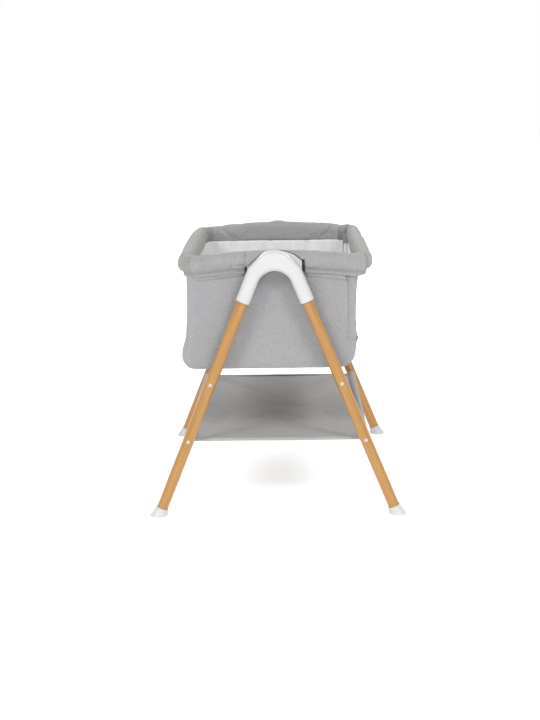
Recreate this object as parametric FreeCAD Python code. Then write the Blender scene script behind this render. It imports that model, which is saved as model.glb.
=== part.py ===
import FreeCAD, Part
import math
import os

# Bassinet on an A-frame stand.  Millimetres, +Z up.  X runs across the bassinet, Y along it, the near
# end frame is at -Y and the side that folds down is at +X.  The origin is on the floor at the middle.

Vec = FreeCAD.Vector
X_AXIS = Vec(1, 0, 0)
Y_AXIS = Vec(0, 1, 0)
Z_AXIS = Vec(0, 0, 1)
ENDS = {"near": -1, "far": 1}
SIDES = {"left": -1, "right": 1}

# Stand
FRAME_Y = 450.0            # middle plane of each end frame
LEG_X_AT_FLOOR = 341.0     # leg axis where it meets the floor
LEG_LEAN = 0.4073          # how far the axis moves inwards for each unit of height
LEG_RADIUS = 16.0
TUBE_WALL = 1.2
LEG_BOTTOM_Z = 8.0
LEG_TOP_Z = 676.0
FOOT_RADIUS = 26.0
FOOT_X = 343.0
FOOT_TOP_Z = 23.0
FOOT_COLLAR_RADIUS = 18.0
UPPER_RAIL_Z = 384.0
LOWER_RAIL_Z = 220.0
RAIL_RADIUS = 8.0
RAIL_WALL = 1.0
RAIL_END_Y = 431.4
PLUG_FLANGE = 2.5
PLUG_DEPTH = 20.0
SCREW_RADIUS = 3.0
SCREW_HEAD_RADIUS = 5.2
SCREW_HEAD_HEIGHT = 2.8
SCREW_HOLE_GAP = 0.1

# Yoke, the arch that joins the two legs of one end
SLEEVE_RADIUS = 20.0
SLEEVE_BOTTOM_Z = 617.0
ARCH_INNER_RADIUS = 50.0
ARCH_INNER_Z = 652.0
CROWN_RADIUS = 58.0
CROWN_Z = 702.0
KNEE = (72.6, 712.0)
YOKE_FRONT_FILLET = 17.0
YOKE_BACK_FILLET = 7.0
SADDLE_BACK_Y = 405.0
SADDLE_BOTTOM_Z = 703.0
SADDLE_TOP_Z = 757.0
SADDLE_HALF_WIDTH = 76.0
SADDLE_SHOULDER_Z = 729.0
SADDLE_SCREW_X = 30.0
SADDLE_SCREW_Z = 742.0
LEG_SCREW_Z = 645.0
SMALL_SCREW_RADIUS = 2.0
SMALL_HEAD_RADIUS = 4.0
SMALL_HEAD_HEIGHT = 2.0

# Top frame and rim of the tub
RIM_RAIL_Z = 722.0
RIM_RAIL_RADIUS = 9.5
END_RAIL_Y = 418.0
SIDE_RAIL_X = 258.0
DROP_RAIL_X = 252.0
DROP_RAIL_HALF_LENGTH = 388.0
CORNER_RADIUS = 50.0
SPIGOT_RADIUS = 8.2
SPIGOT_LENGTH = 20.0
ELBOW_RADIUS = 11.0
RIM_HALF_WIDTH = 21.0
RIM_BOTTOM_Z = 686.0
RIM_TOP_Z = 758.0
RIM_EDGE_FILLET = 17.0
RIM_BORE_RADIUS = 10.2
SEAM_GAP = 1.2
RIM_SLOT_HALF_WIDTH = 80.0

# Fabric tub
TUB_LEFT_X = -247.0
TUB_RIGHT_X = 230.0        # the folding side hangs further in under its rail than the fixed one
TUB_MIDDLE_X = (TUB_LEFT_X + TUB_RIGHT_X) / 2
TUB_HALF_WIDTH = (TUB_RIGHT_X - TUB_LEFT_X) / 2
TUB_HALF_LENGTH = 413.0
TUB_BOTTOM_Z = 427.0
TUB_TOP_Z = 683.0
TUB_BOTTOM_RADIUS = 40.0
TUB_CORNER_RADIUS = 28.0
CLOTH = 2.0
END_PANEL_Y = 385.0
BOTTOM_HALF_WIDTH = TUB_HALF_WIDTH - 41.0
CLOTH_GAP = 0.3
FOLD_Z = 497.0             # height of the hinge line of the folding side
FOLD_X = TUB_RIGHT_X + 1.5
FOLD_HALF_GAP = 6.0
DROP_SEAM_X = TUB_RIGHT_X - 19.0   # where the folding side's cloth meets the end panels
LINING_Y = 392.0
LINING_HALF_WIDTH = TUB_HALF_WIDTH - 22.0
LINING_BOTTOM_Z = 500.0
LINING_THICKNESS = 1.5

# Tub's inner frame and bed
BASE_TUBE_RADIUS = 6.0
BASE_Z = 445.0
BASE_HALF_WIDTH = TUB_HALF_WIDTH - 19.0
BASE_Y = 395.0
BASE_BEND = 30.0
POST_RADIUS = 5.0
POST_X = {"left": TUB_LEFT_X + 14.5, "right": TUB_RIGHT_X - 29.0}
POST_Y = 398.5
POST_TOP_Z = 710.0
BOSS_RADIUS = 7.5
BOARD = (2 * TUB_HALF_WIDTH - 32.0, 798.0, 6.0)
MATTRESS = (2 * TUB_HALF_WIDTH - 46.0, 776.0, 40.0)
MATTRESS_EDGE = 12.0
MATTRESS_GAP = 0.3

# Hinge of the folding side
ARM_Y = 360.0
ARM_WIDTH = 16.0
ARM_THICKNESS = 3.0
ARM_X = TUB_RIGHT_X - 6.0
ARM_STEP_Z = 709.0         # where the arm steps out to the rail
BRACKET_X = TUB_RIGHT_X - 13.0
BRACKET_THICKNESS = 2.0
KNUCKLE_RADIUS = 4.0
PIN_RADIUS = 2.0
PIN_RUNNING_GAP = 0.05
EAR_WIDTH = 4.0
EAR_GAP = 0.4

# Zips
ZIP_X = TUB_RIGHT_X - 25.0
ZIP_WIDTH = 5.0
ZIP_THICKNESS = 1.2
ZIP_BOTTOM_Z = 504.0
SLIDER_SIZE = (7.0, 2.6, 10.0)
SLIDER_Z = 676.0
PULL_SIZE = (4.0, 1.0, 14.0)

# Shelf
SHELF_HALF_LENGTH = 428.0
SHELF_THICKNESS = 2.0
SHELF_SLEEVE_RADIUS = 9.2
SHELF_ROD_RADIUS = 2.4
SHELF_ROD_Y = 424.0


def box(x0, x1, y0, y1, z0, z1):
    """A box between two corners, given in any order."""
    low = Vec(min(x0, x1), min(y0, y1), min(z0, z1))
    return Part.makeBox(abs(x1 - x0), abs(y1 - y0), abs(z1 - z0), low)


def rod(radius, start, end):
    """A solid round bar from one point to another."""
    return Part.makeCylinder(radius, (end - start).Length, start, end - start)


def tube(radius, wall, start, end):
    """A round tube from one point to another."""
    along = (end - start).normalize()
    bore = rod(radius - wall, start - along, end + along)
    return rod(radius, start, end).cut(bore)


def rounded_plan(half_x, half_y, radius, z0, z1):
    """An upright block whose plan is a rectangle with round corners."""
    block = box(-half_x, half_x, -half_y, half_y, z0, z1)
    upright = [e for e in block.Edges if abs(e.Vertexes[0].Z - e.Vertexes[-1].Z) > 0.5]
    return block.makeFillet(radius, upright)


def tub_plan(half_x, half_y, radius, z0, z1):
    """The same, about the middle line of the tub."""
    block = rounded_plan(half_x, half_y, radius, z0, z1)
    block.translate(Vec(TUB_MIDDLE_X, 0, 0))
    return block


def leg_point(side, end, z):
    """The point of a leg's axis at height z."""
    return Vec(side * (LEG_X_AT_FLOOR - LEG_LEAN * z), end * FRAME_Y, z)


def leg(side, end):
    return tube(LEG_RADIUS, TUBE_WALL, leg_point(side, end, LEG_BOTTOM_Z), leg_point(side, end, LEG_TOP_Z))


def foot():
    """The near right shoe: flared, flat underneath, with a socket square to the leg."""
    bottom = leg_point(1, -1, LEG_BOTTOM_Z)
    top = leg_point(1, -1, FOOT_TOP_Z)
    along = (top - bottom).normalize()
    middle = Vec(FOOT_X, -FRAME_Y, 0)
    wires = []
    for share in (0.0, 0.12, 0.3, 0.5, 0.7, 0.85, 1.0):
        radius = FOOT_COLLAR_RADIUS + (FOOT_RADIUS - FOOT_COLLAR_RADIUS) * (1 - share) ** 1.6
        if share == 0.0:
            radius -= 1.0
        normal = Z_AXIS * (1 - share) + along * share
        wires.append(Part.Wire([Part.makeCircle(radius, middle * (1 - share) + top * share, normal)]))
    body = Part.makeLoft(wires, True, True)
    return body.cut(rod(LEG_RADIUS, bottom, top + along * 5.0))


def placed(shape, side, end):
    """A near right piece, mirrored to the corner it is for."""
    if side < 0:
        shape = shape.mirror(Vec(0, 0, 0), X_AXIS)
    if end > 0:
        shape = shape.mirror(Vec(0, 0, 0), Y_AXIS)
    return shape


def yoke_profile():
    """The arch seen from its end: round crown, sloping shoulders, two sleeves cut square to the legs."""
    lean = math.atan(LEG_LEAN)
    across = Vec(math.cos(lean), 0, math.sin(lean))
    foot_of_sleeve = leg_point(1, 0, SLEEVE_BOTTOM_Z)
    outer = foot_of_sleeve + across * SLEEVE_RADIUS
    inner = foot_of_sleeve - across * SLEEVE_RADIUS
    half = CROWN_RADIUS * math.sqrt(0.5)
    shoulder = Vec(half, 0, CROWN_Z + half)
    knee = Vec(KNEE[0], 0, KNEE[1])
    spring = Vec(0, 0, ARCH_INNER_Z) + across * ARCH_INNER_RADIUS

    def mirrored(point):
        return Vec(-point.x, 0, point.z)

    crown = Part.Arc(shoulder, Vec(0, 0, CROWN_Z + CROWN_RADIUS), mirrored(shoulder))
    arch = Part.Arc(mirrored(spring), Vec(0, 0, ARCH_INNER_Z + ARCH_INNER_RADIUS), spring)
    edges = [
        Part.LineSegment(outer, knee).toShape(),
        Part.LineSegment(knee, shoulder).toShape(),
        crown.toShape(),
        Part.LineSegment(mirrored(shoulder), mirrored(knee)).toShape(),
        Part.LineSegment(mirrored(knee), mirrored(outer)).toShape(),
        Part.LineSegment(mirrored(outer), mirrored(inner)).toShape(),
        Part.LineSegment(mirrored(inner), mirrored(spring)).toShape(),
        arch.toShape(),
        Part.LineSegment(spring, inner).toShape(),
        Part.LineSegment(inner, outer).toShape(),
    ]
    return Part.Face(Part.Wire(edges))


def edges_in_plane(shape, y):
    """Edges of shape that lie in the plane at y, leaving out the cut ends of the sleeves."""
    found = []
    for edge in shape.Edges:
        inside = all(abs(v.Y - y) < 0.01 for v in edge.Vertexes) and abs(edge.CenterOfMass.y - y) < 0.01
        is_sleeve_end = edge.CenterOfMass.z < SLEEVE_BOTTOM_Z + 1 and abs(edge.CenterOfMass.x) > 60
        if inside and not is_sleeve_end:
            found.append(edge)
    return found


def yoke(end, fasteners):
    face = yoke_profile()
    face.translate(Vec(0, -FRAME_Y - SLEEVE_RADIUS, 0))
    body = face.extrude(Vec(0, 2 * SLEEVE_RADIUS, 0))
    body = body.makeFillet(YOKE_FRONT_FILLET, edges_in_plane(body, -FRAME_Y - SLEEVE_RADIUS))
    body = body.makeFillet(YOKE_BACK_FILLET, edges_in_plane(body, -FRAME_Y + SLEEVE_RADIUS))
    if end > 0:
        body = body.mirror(Vec(0, 0, 0), Y_AXIS)
    for side in SIDES.values():
        low = leg_point(side, end, SLEEVE_BOTTOM_Z - 30)
        body = body.cut(rod(LEG_RADIUS, low, leg_point(side, end, LEG_TOP_Z)))
    return body.cut(fasteners)


def saddle(end, fasteners):
    """The block behind the yoke that grips the end rail of the tub."""
    outline = [
        Vec(-SADDLE_HALF_WIDTH, 0, SADDLE_BOTTOM_Z),
        Vec(SADDLE_HALF_WIDTH, 0, SADDLE_BOTTOM_Z),
        Vec(SADDLE_HALF_WIDTH, 0, SADDLE_SHOULDER_Z),
    ]
    top = Part.Arc(outline[2], Vec(0, 0, SADDLE_TOP_Z), Vec(-SADDLE_HALF_WIDTH, 0, SADDLE_SHOULDER_Z))
    edges = [
        Part.LineSegment(outline[0], outline[1]).toShape(),
        Part.LineSegment(outline[1], outline[2]).toShape(),
        top.toShape(),
        Part.LineSegment(Vec(-SADDLE_HALF_WIDTH, 0, SADDLE_SHOULDER_Z), outline[0]).toShape(),
    ]
    face = Part.Face(Part.Wire(edges))
    yoke_back = FRAME_Y - SLEEVE_RADIUS
    face.translate(Vec(0, end * yoke_back, 0))
    body = face.extrude(Vec(0, end * (SADDLE_BACK_Y - yoke_back), 0))
    body = body.makeFillet(3.0, [e for e in body.Edges if e.CenterOfMass.z > SADDLE_SHOULDER_Z + 5])
    middle = Vec(0, end * END_RAIL_Y, RIM_RAIL_Z)
    channel = rod(RIM_RAIL_RADIUS, middle - X_AXIS * 100, middle + X_AXIS * 100)
    return body.cut(channel).cut(fasteners)


def screw(radius, head_radius, head_height, seat, tip):
    """A screw with a domed head; seat is the point under the head."""
    along = (tip - seat).normalize()
    shank = rod(radius, seat - along * 0.5, tip)
    ball_radius = (head_radius ** 2 + head_height ** 2) / (2 * head_height)
    ball = Part.makeSphere(ball_radius, seat + along * (ball_radius - head_height))
    dome = ball.common(rod(head_radius + 1, seat - along * (head_height + 1), seat))
    return dome.fuse(shank).removeSplitter()


def rail_screws():
    made = []
    for end in ENDS.values():
        for side in SIDES.values():
            for z in (UPPER_RAIL_Z, LOWER_RAIL_Z):
                seat = leg_point(side, end, z) + Vec(0, end * LEG_RADIUS, 0)
                tip = seat - Vec(0, end * 50, 0)
                made.append(screw(SCREW_RADIUS, SCREW_HEAD_RADIUS, SCREW_HEAD_HEIGHT, seat, tip))
    return Part.makeCompound(made)


def screw_holes():
    """Clearance holes for the rail screws."""
    made = []
    for end in ENDS.values():
        for side in SIDES.values():
            for z in (UPPER_RAIL_Z, LOWER_RAIL_Z):
                centre = leg_point(side, end, z)
                outside = centre + Vec(0, end * 40, 0)
                inside = centre - Vec(0, end * 40, 0)
                made.append(rod(SCREW_RADIUS + SCREW_HOLE_GAP, outside, inside))
    return Part.makeCompound(made)


def small_screw(seat, tip):
    return screw(SMALL_SCREW_RADIUS, SMALL_HEAD_RADIUS, SMALL_HEAD_HEIGHT, seat, tip)


def yoke_leg_screws():
    """One screw through the back of each sleeve into its leg."""
    made = []
    for end in ENDS.values():
        for side in SIDES.values():
            seat = leg_point(side, end, LEG_SCREW_Z) - Vec(0, end * SLEEVE_RADIUS, 0)
            made.append(small_screw(seat, seat + Vec(0, end * 12, 0)))
    return Part.makeCompound(made)


def saddle_screws():
    made = []
    for end in ENDS.values():
        for side in SIDES.values():
            seat = Vec(side * SADDLE_SCREW_X, end * SADDLE_BACK_Y, SADDLE_SCREW_Z)
            made.append(small_screw(seat, seat + Vec(0, end * 42, 0)))
    return Part.makeCompound(made)


def long_rail(side, z):
    """A cross tube of the stand, from the near leg to the far leg of one side."""
    start = leg_point(side, 0, z) - Y_AXIS * RAIL_END_Y
    return tube(RAIL_RADIUS, RAIL_WALL, start, leg_point(side, 0, z) + Y_AXIS * RAIL_END_Y)


def rail_end_plugs():
    made = []
    for end in ENDS.values():
        for side in SIDES.values():
            for z in (UPPER_RAIL_Z, LOWER_RAIL_Z):
                centre = leg_point(side, 0, z)
                mouth = centre + Vec(0, end * RAIL_END_Y, 0)
                face = mouth + Vec(0, end * PLUG_FLANGE, 0)
                inner = mouth - Vec(0, end * PLUG_DEPTH, 0)
                body = rod(RAIL_RADIUS, mouth, face).fuse(rod(RAIL_RADIUS - RAIL_WALL, inner, mouth))
                body = body.cut(rod(SCREW_RADIUS, inner + Vec(0, end * 3, 0), face + Vec(0, end, 0)))
                made.append(body.removeSplitter())
    return Part.makeCompound(made)


def shelf():
    """The cloth shelf: a flat sheet sewn into a sleeve round each lower rail."""
    rail_x = leg_point(1, 0, LOWER_RAIL_Z).x
    z0 = LOWER_RAIL_Z - SHELF_THICKNESS / 2
    length = SHELF_HALF_LENGTH
    body = box(-rail_x, rail_x, -length, length, z0, z0 + SHELF_THICKNESS)
    for side in SIDES.values():
        start = Vec(side * rail_x, -length, LOWER_RAIL_Z)
        body = body.fuse(rod(SHELF_SLEEVE_RADIUS, start, start + Y_AXIS * (2 * length)))
    for side in SIDES.values():
        start = Vec(side * rail_x, -length - 1, LOWER_RAIL_Z)
        body = body.cut(rod(RAIL_RADIUS, start, start + Y_AXIS * (2 * length + 2)))
    return body.removeSplitter()


def shelf_rod(end):
    """The stiffening rod in the hem of the shelf, just under the cloth."""
    reach = leg_point(1, 0, LOWER_RAIL_Z).x - SHELF_SLEEVE_RADIUS - 1
    z = LOWER_RAIL_Z - SHELF_THICKNESS / 2 - SHELF_ROD_RADIUS
    return rod(SHELF_ROD_RADIUS, Vec(-reach, end * SHELF_ROD_Y, z), Vec(reach, end * SHELF_ROD_Y, z))


def end_rail(end):
    start = Vec(-SIDE_RAIL_X + CORNER_RADIUS, end * END_RAIL_Y, RIM_RAIL_Z)
    stop = Vec(DROP_RAIL_X - 18, end * END_RAIL_Y, RIM_RAIL_Z)
    return tube(RIM_RAIL_RADIUS, TUBE_WALL, start, stop)


def left_rail():
    reach = END_RAIL_Y - CORNER_RADIUS
    start = Vec(-SIDE_RAIL_X, -reach, RIM_RAIL_Z)
    return tube(RIM_RAIL_RADIUS, TUBE_WALL, start, Vec(-SIDE_RAIL_X, reach, RIM_RAIL_Z))


def post_end(side_name, end, z):
    return Vec(POST_X[side_name], end * POST_Y, z)


def post(side_name, end):
    bottom = post_end(side_name, end, BASE_Z + BASE_TUBE_RADIUS)
    return tube(POST_RADIUS, TUBE_WALL, bottom, post_end(side_name, end, POST_TOP_Z))


def post_boss(side_name, end):
    """The socket that takes the top of a corner post."""
    low = post_end(side_name, end, POST_TOP_Z - 14)
    high = post_end(side_name, end, RIM_RAIL_Z)
    return rod(BOSS_RADIUS, low, high)


def post_hole(side_name, end):
    return rod(POST_RADIUS, post_end(side_name, end, 600), post_end(side_name, end, POST_TOP_Z))


def corner_elbow(end):
    """The bend at a left corner, with a spigot into each rail."""
    centre = Vec(-SIDE_RAIL_X + CORNER_RADIUS, end * (END_RAIL_Y - CORNER_RADIUS), RIM_RAIL_Z)
    ring = Part.makeTorus(CORNER_RADIUS, ELBOW_RADIUS, centre, Z_AXIS)
    reach = CORNER_RADIUS + ELBOW_RADIUS + 5
    quarter = box(centre.x - reach, centre.x, centre.y, centre.y + end * reach, 600, 800)
    end_mouth = centre + Vec(0, end * CORNER_RADIUS, 0)
    side_mouth = centre - Vec(CORNER_RADIUS, 0, 0)
    body = ring.common(quarter)
    body = body.fuse(rod(SPIGOT_RADIUS, end_mouth, end_mouth + X_AXIS * SPIGOT_LENGTH))
    body = body.fuse(rod(SPIGOT_RADIUS, side_mouth, side_mouth - Vec(0, end * SPIGOT_LENGTH, 0)))
    body = body.fuse(post_boss("left", end))
    return body.cut(post_hole("left", end)).removeSplitter()


def seam_wedge(end, offset):
    """Everything outside the slanting seam of a right corner, moved outwards by offset."""
    corner = Vec(SIDE_RAIL_X - CORNER_RADIUS + offset, end * (END_RAIL_Y - CORNER_RADIUS), 400)
    reach = 1000.0
    points = [
        corner + Vec(-reach, -end * reach, 0),
        corner + Vec(reach, end * reach, 0),
        corner + Vec(3 * reach, end * reach, 0),
        corner + Vec(3 * reach, -end * reach, 0),
    ]
    face = Part.Face(Part.makePolygon(points + [points[0]]))
    return face.extrude(Vec(0, 0, 600))


def corner_latch(end):
    """The plug in the right end of an end rail; its slanting face is the stop for the folding side."""
    mouth = Vec(DROP_RAIL_X - 18, end * END_RAIL_Y, RIM_RAIL_Z)
    body = rod(RIM_RAIL_RADIUS, mouth, mouth + X_AXIS * 16)
    body = body.cut(seam_wedge(end, -SEAM_GAP))
    body = body.fuse(rod(SPIGOT_RADIUS, mouth - X_AXIS * SPIGOT_LENGTH, mouth))
    return body.removeSplitter()


def post_clamp(end):
    """The clip that hangs a right corner post from the end rail."""
    centre = Vec(POST_X["right"], end * END_RAIL_Y, RIM_RAIL_Z)
    body = rod(RIM_RAIL_RADIUS + 2.2, centre - X_AXIS * 7, centre + X_AXIS * 7)
    body = body.fuse(post_boss("right", end))
    low = RIM_RAIL_Z - 14
    body = body.fuse(box(centre.x - 5, centre.x + 5, end * POST_Y, end * END_RAIL_Y, low, RIM_RAIL_Z))
    rail = rod(RIM_RAIL_RADIUS, centre - X_AXIS * 20, centre + X_AXIS * 20)
    return body.cut(rail).cut(post_hole("right", end)).removeSplitter()


def base_frame():
    """The closed loop of tube under the board."""
    loop = tub_plan(BASE_HALF_WIDTH, BASE_Y, BASE_BEND, BASE_Z, BASE_Z + 1)
    bottom = [f for f in loop.Faces if abs(f.CenterOfMass.z - BASE_Z) < 0.01][0]
    path = bottom.OuterWire
    start = Vec(TUB_MIDDLE_X + BASE_HALF_WIDTH, 0, BASE_Z)
    circle = Part.Wire([Part.makeCircle(BASE_TUBE_RADIUS, start, Y_AXIS)])
    return path.makePipeShell([circle], True, False)


def base_board(posts):
    half_x = BOARD[0] / 2
    half_y = BOARD[1] / 2
    bottom = BASE_Z + BASE_TUBE_RADIUS
    body = tub_plan(half_x, half_y, 20, bottom, bottom + BOARD[2])
    return body.cut(posts)


def mattress():
    bottom = BASE_Z + BASE_TUBE_RADIUS + BOARD[2] + MATTRESS_GAP
    body = tub_plan(MATTRESS[0] / 2, MATTRESS[1] / 2, 40, bottom, bottom + MATTRESS[2])
    flat = [e for e in body.Edges if abs(e.BoundBox.ZMax - e.BoundBox.ZMin) < 0.01]
    return body.makeFillet(MATTRESS_EDGE, flat)


def rim_ring():
    """The whole padded roll round the top of the tub."""
    outer = rounded_plan(SIDE_RAIL_X + RIM_HALF_WIDTH, END_RAIL_Y + RIM_HALF_WIDTH,
                         CORNER_RADIUS + RIM_HALF_WIDTH, RIM_BOTTOM_Z, RIM_TOP_Z)
    inner = rounded_plan(SIDE_RAIL_X - RIM_HALF_WIDTH, END_RAIL_Y - RIM_HALF_WIDTH,
                         CORNER_RADIUS - RIM_HALF_WIDTH, RIM_BOTTOM_Z - 1, RIM_TOP_Z + 1)
    ring = outer.cut(inner)
    flat = [e for e in ring.Edges if abs(e.BoundBox.ZMax - e.BoundBox.ZMin) < 0.01]
    return ring.makeFillet(RIM_EDGE_FILLET, flat)


def rim_bore(start, end):
    return rod(RIM_BORE_RADIUS, start, end)


def end_pad(ring, end, hardware):
    """The padded roll of one end, with the slot where the saddle grips the rail."""
    far = 2 * END_RAIL_Y
    left_corner = Vec(-SIDE_RAIL_X + CORNER_RADIUS, end * (END_RAIL_Y - CORNER_RADIUS), RIM_RAIL_Z)
    left_side = box(-far, left_corner.x, -end * far, left_corner.y, 600, 800)
    body = ring.common(box(-far, far, 0, end * far, 600, 800)).cut(left_side)
    body = body.cut(seam_wedge(end, -SEAM_GAP / 2))
    slot = box(-RIM_SLOT_HALF_WIDTH, RIM_SLOT_HALF_WIDTH, end * (SADDLE_BACK_Y - 3), end * 600, 600, 800)
    body = body.cut(slot)
    rail_middle = Vec(0, end * END_RAIL_Y, RIM_RAIL_Z)
    body = body.cut(rim_bore(rail_middle - X_AXIS * 215, rail_middle + X_AXIS * 260))
    for piece in hardware:
        body = body.cut(piece)
    return body


def left_pad(ring):
    reach = END_RAIL_Y - CORNER_RADIUS - CLOTH_GAP
    body = ring.common(box(-400, -150, -reach, reach, 600, 800))
    middle = Vec(-SIDE_RAIL_X, 0, RIM_RAIL_Z)
    return body.cut(rim_bore(middle - Y_AXIS * 600, middle + Y_AXIS * 600))


def drop_pad(ring):
    body = ring.common(seam_wedge(-1, SEAM_GAP / 2)).common(seam_wedge(1, SEAM_GAP / 2))
    middle = Vec(DROP_RAIL_X, 0, RIM_RAIL_Z)
    body = body.cut(rim_bore(middle - Y_AXIS * END_RAIL_Y, middle + Y_AXIS * END_RAIL_Y))
    for end in ENDS.values():
        body = body.cut(arm_bar(end, 0.3))
    return body


def drop_rail():
    middle = Vec(DROP_RAIL_X, 0, RIM_RAIL_Z)
    reach = Y_AXIS * DROP_RAIL_HALF_LENGTH
    return tube(RIM_RAIL_RADIUS, TUBE_WALL, middle - reach, middle + reach)


def drop_rail_plugs():
    """The plastic ends of the folding side's rail, which meet the corner latches."""
    made = []
    for end in ENDS.values():
        mouth = Vec(DROP_RAIL_X, end * DROP_RAIL_HALF_LENGTH, RIM_RAIL_Z)
        head = rod(RIM_RAIL_RADIUS, mouth, mouth + Vec(0, end * 16, 0)).common(seam_wedge(end, SEAM_GAP))
        inner = mouth - Vec(0, end * SPIGOT_LENGTH, 0)
        made.append(head.fuse(rod(SPIGOT_RADIUS, inner, mouth)).removeSplitter())
    return Part.makeCompound(made)


def arm_bar(end, gap=0.0):
    """The flat bar of a hinge arm, its step out to the rail and its collar, grown by gap."""
    y0 = end * ARM_Y - ARM_WIDTH / 2 - gap
    y1 = end * ARM_Y + ARM_WIDTH / 2 + gap
    top = ARM_STEP_Z + ARM_THICKNESS
    bar = box(ARM_X - gap, ARM_X + ARM_THICKNESS + gap, y0, y1, FOLD_Z + 1, top + gap)
    bar = bar.fuse(box(ARM_X - gap, DROP_RAIL_X, y0, y1, ARM_STEP_Z - gap, top + gap))
    middle = Vec(DROP_RAIL_X, y0, RIM_RAIL_Z)
    return bar.fuse(rod(RIM_RAIL_RADIUS + 1.5 + gap, middle, middle + Y_AXIS * (y1 - y0)))


def drop_arms():
    """Two flat arms that carry the folding side's rail, each with a hinge knuckle at its foot."""
    made = []
    for end in ENDS.values():
        y0 = end * ARM_Y - ARM_WIDTH / 2
        y1 = end * ARM_Y + ARM_WIDTH / 2
        pivot = Vec(FOLD_X, y0, FOLD_Z)
        along = Y_AXIS * ARM_WIDTH
        body = arm_bar(end).fuse(box(ARM_X, FOLD_X, y0, y1, FOLD_Z + 1, FOLD_Z + KNUCKLE_RADIUS))
        body = body.fuse(rod(KNUCKLE_RADIUS, pivot, pivot + along))
        body = body.cut(rod(PIN_RADIUS + PIN_RUNNING_GAP, pivot - Y_AXIS, pivot + along + Y_AXIS))
        rail = Vec(DROP_RAIL_X, y0 - 1, RIM_RAIL_Z)
        body = body.cut(rod(RIM_RAIL_RADIUS, rail, rail + Y_AXIS * (ARM_WIDTH + 2)))
        made.append(body.removeSplitter())
    return Part.makeCompound(made)


def ear_spans(end):
    """The two stretches of Y taken by a bracket's ears, one each side of the arm."""
    inner = ARM_WIDTH / 2 + EAR_GAP
    middle = end * ARM_Y
    return [(middle - inner - EAR_WIDTH, middle - inner), (middle + inner, middle + inner + EAR_WIDTH)]


def hinge_brackets(base_tube):
    """Brackets from the base frame up to the hinge line of the folding side."""
    made = []
    back = BRACKET_X + BRACKET_THICKNESS
    tube_x = TUB_MIDDLE_X + BASE_HALF_WIDTH
    for end in ENDS.values():
        spans = ear_spans(end)
        plate = box(BRACKET_X, back, spans[0][0], spans[1][1], BASE_Z, FOLD_Z - 5)
        body = plate.fuse(box(tube_x, back, spans[0][0], spans[1][1], BASE_Z - 2, BASE_Z + 2))
        for y0, y1 in spans:
            body = body.fuse(box(BRACKET_X, FOLD_X, y0, y1, FOLD_Z - 5.2, FOLD_Z - 1))
            body = body.fuse(rod(KNUCKLE_RADIUS, Vec(FOLD_X, y0, FOLD_Z), Vec(FOLD_X, y1, FOLD_Z)))
        pin_line = rod(PIN_RADIUS, Vec(FOLD_X, -600, FOLD_Z), Vec(FOLD_X, 600, FOLD_Z))
        made.append(body.cut(pin_line).cut(base_tube).removeSplitter())
    return Part.makeCompound(made)


def hinge_pins():
    made = []
    for end in ENDS.values():
        spans = ear_spans(end)
        start = Vec(FOLD_X, spans[0][0] - 1, FOLD_Z)
        made.append(rod(PIN_RADIUS, start, Vec(FOLD_X, spans[1][1] + 1, FOLD_Z)))
    return Part.makeCompound(made)


def tub_block(inset):
    """The outside of the tub, or its inside when inset is the cloth's thickness."""
    left = TUB_LEFT_X + inset
    right = TUB_RIGHT_X - inset
    half_y = TUB_HALF_LENGTH - inset
    bottom = TUB_BOTTOM_Z + inset
    slab = box(left, right, -half_y, half_y, bottom, TUB_TOP_Z + inset)
    low = [e for e in slab.Edges if abs(e.CenterOfMass.z - bottom) < 0.01]
    long_low = [e for e in low if abs(e.CenterOfMass.y) < 1]
    slab = slab.makeFillet(TUB_BOTTOM_RADIUS - inset, long_low)
    radius = TUB_CORNER_RADIUS - inset
    plan = tub_plan(TUB_HALF_WIDTH - inset, half_y, radius, bottom - 1, TUB_TOP_Z + inset + 1)
    return slab.common(plan)


def tub_shell():
    return tub_block(0).cut(tub_block(CLOTH))


def end_panel(shell, end):
    body = shell.common(box(-400, 400, end * END_PANEL_Y, end * 600, 0, 900))
    return body.cut(box(DROP_SEAM_X - CLOTH_GAP, 400, -600, 600, FOLD_Z - FOLD_HALF_GAP, 900))


def side_skirt(shell, side):
    reach = END_PANEL_Y - CLOTH_GAP
    x0 = TUB_MIDDLE_X + side * (BOTTOM_HALF_WIDTH + CLOTH_GAP)
    return shell.common(box(x0, side * 400, -reach, reach, 0, FOLD_Z - FOLD_HALF_GAP))


def left_wall(shell):
    reach = END_PANEL_Y - CLOTH_GAP
    return shell.common(box(-400, -200, -reach, reach, FOLD_Z - FOLD_HALF_GAP + CLOTH_GAP, 900))


def bottom_cloth(shell):
    reach = END_PANEL_Y - CLOTH_GAP
    left = TUB_MIDDLE_X - BOTTOM_HALF_WIDTH
    right = TUB_MIDDLE_X + BOTTOM_HALF_WIDTH
    return shell.common(box(left, right, -reach, reach, 0, 500))


def drop_panel(shell):
    """The mesh of the folding side, which wraps round both upright corners."""
    return shell.common(box(DROP_SEAM_X, 400, -600, 600, FOLD_Z + FOLD_HALF_GAP, 900))


def lining(end):
    y0 = end * LINING_Y
    y1 = end * (LINING_Y - LINING_THICKNESS)
    left = TUB_MIDDLE_X - LINING_HALF_WIDTH
    right = TUB_MIDDLE_X + LINING_HALF_WIDTH
    return box(left, right, y0, y1, LINING_BOTTOM_Z, TUB_TOP_Z)


def zip_chain(end):
    """The closed teeth of a zip on the end panel, beside the folding side."""
    y0 = end * TUB_HALF_LENGTH
    y1 = end * (TUB_HALF_LENGTH + ZIP_THICKNESS)
    return box(ZIP_X - ZIP_WIDTH / 2, ZIP_X + ZIP_WIDTH / 2, y0, y1, ZIP_BOTTOM_Z, TUB_TOP_Z)


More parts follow.
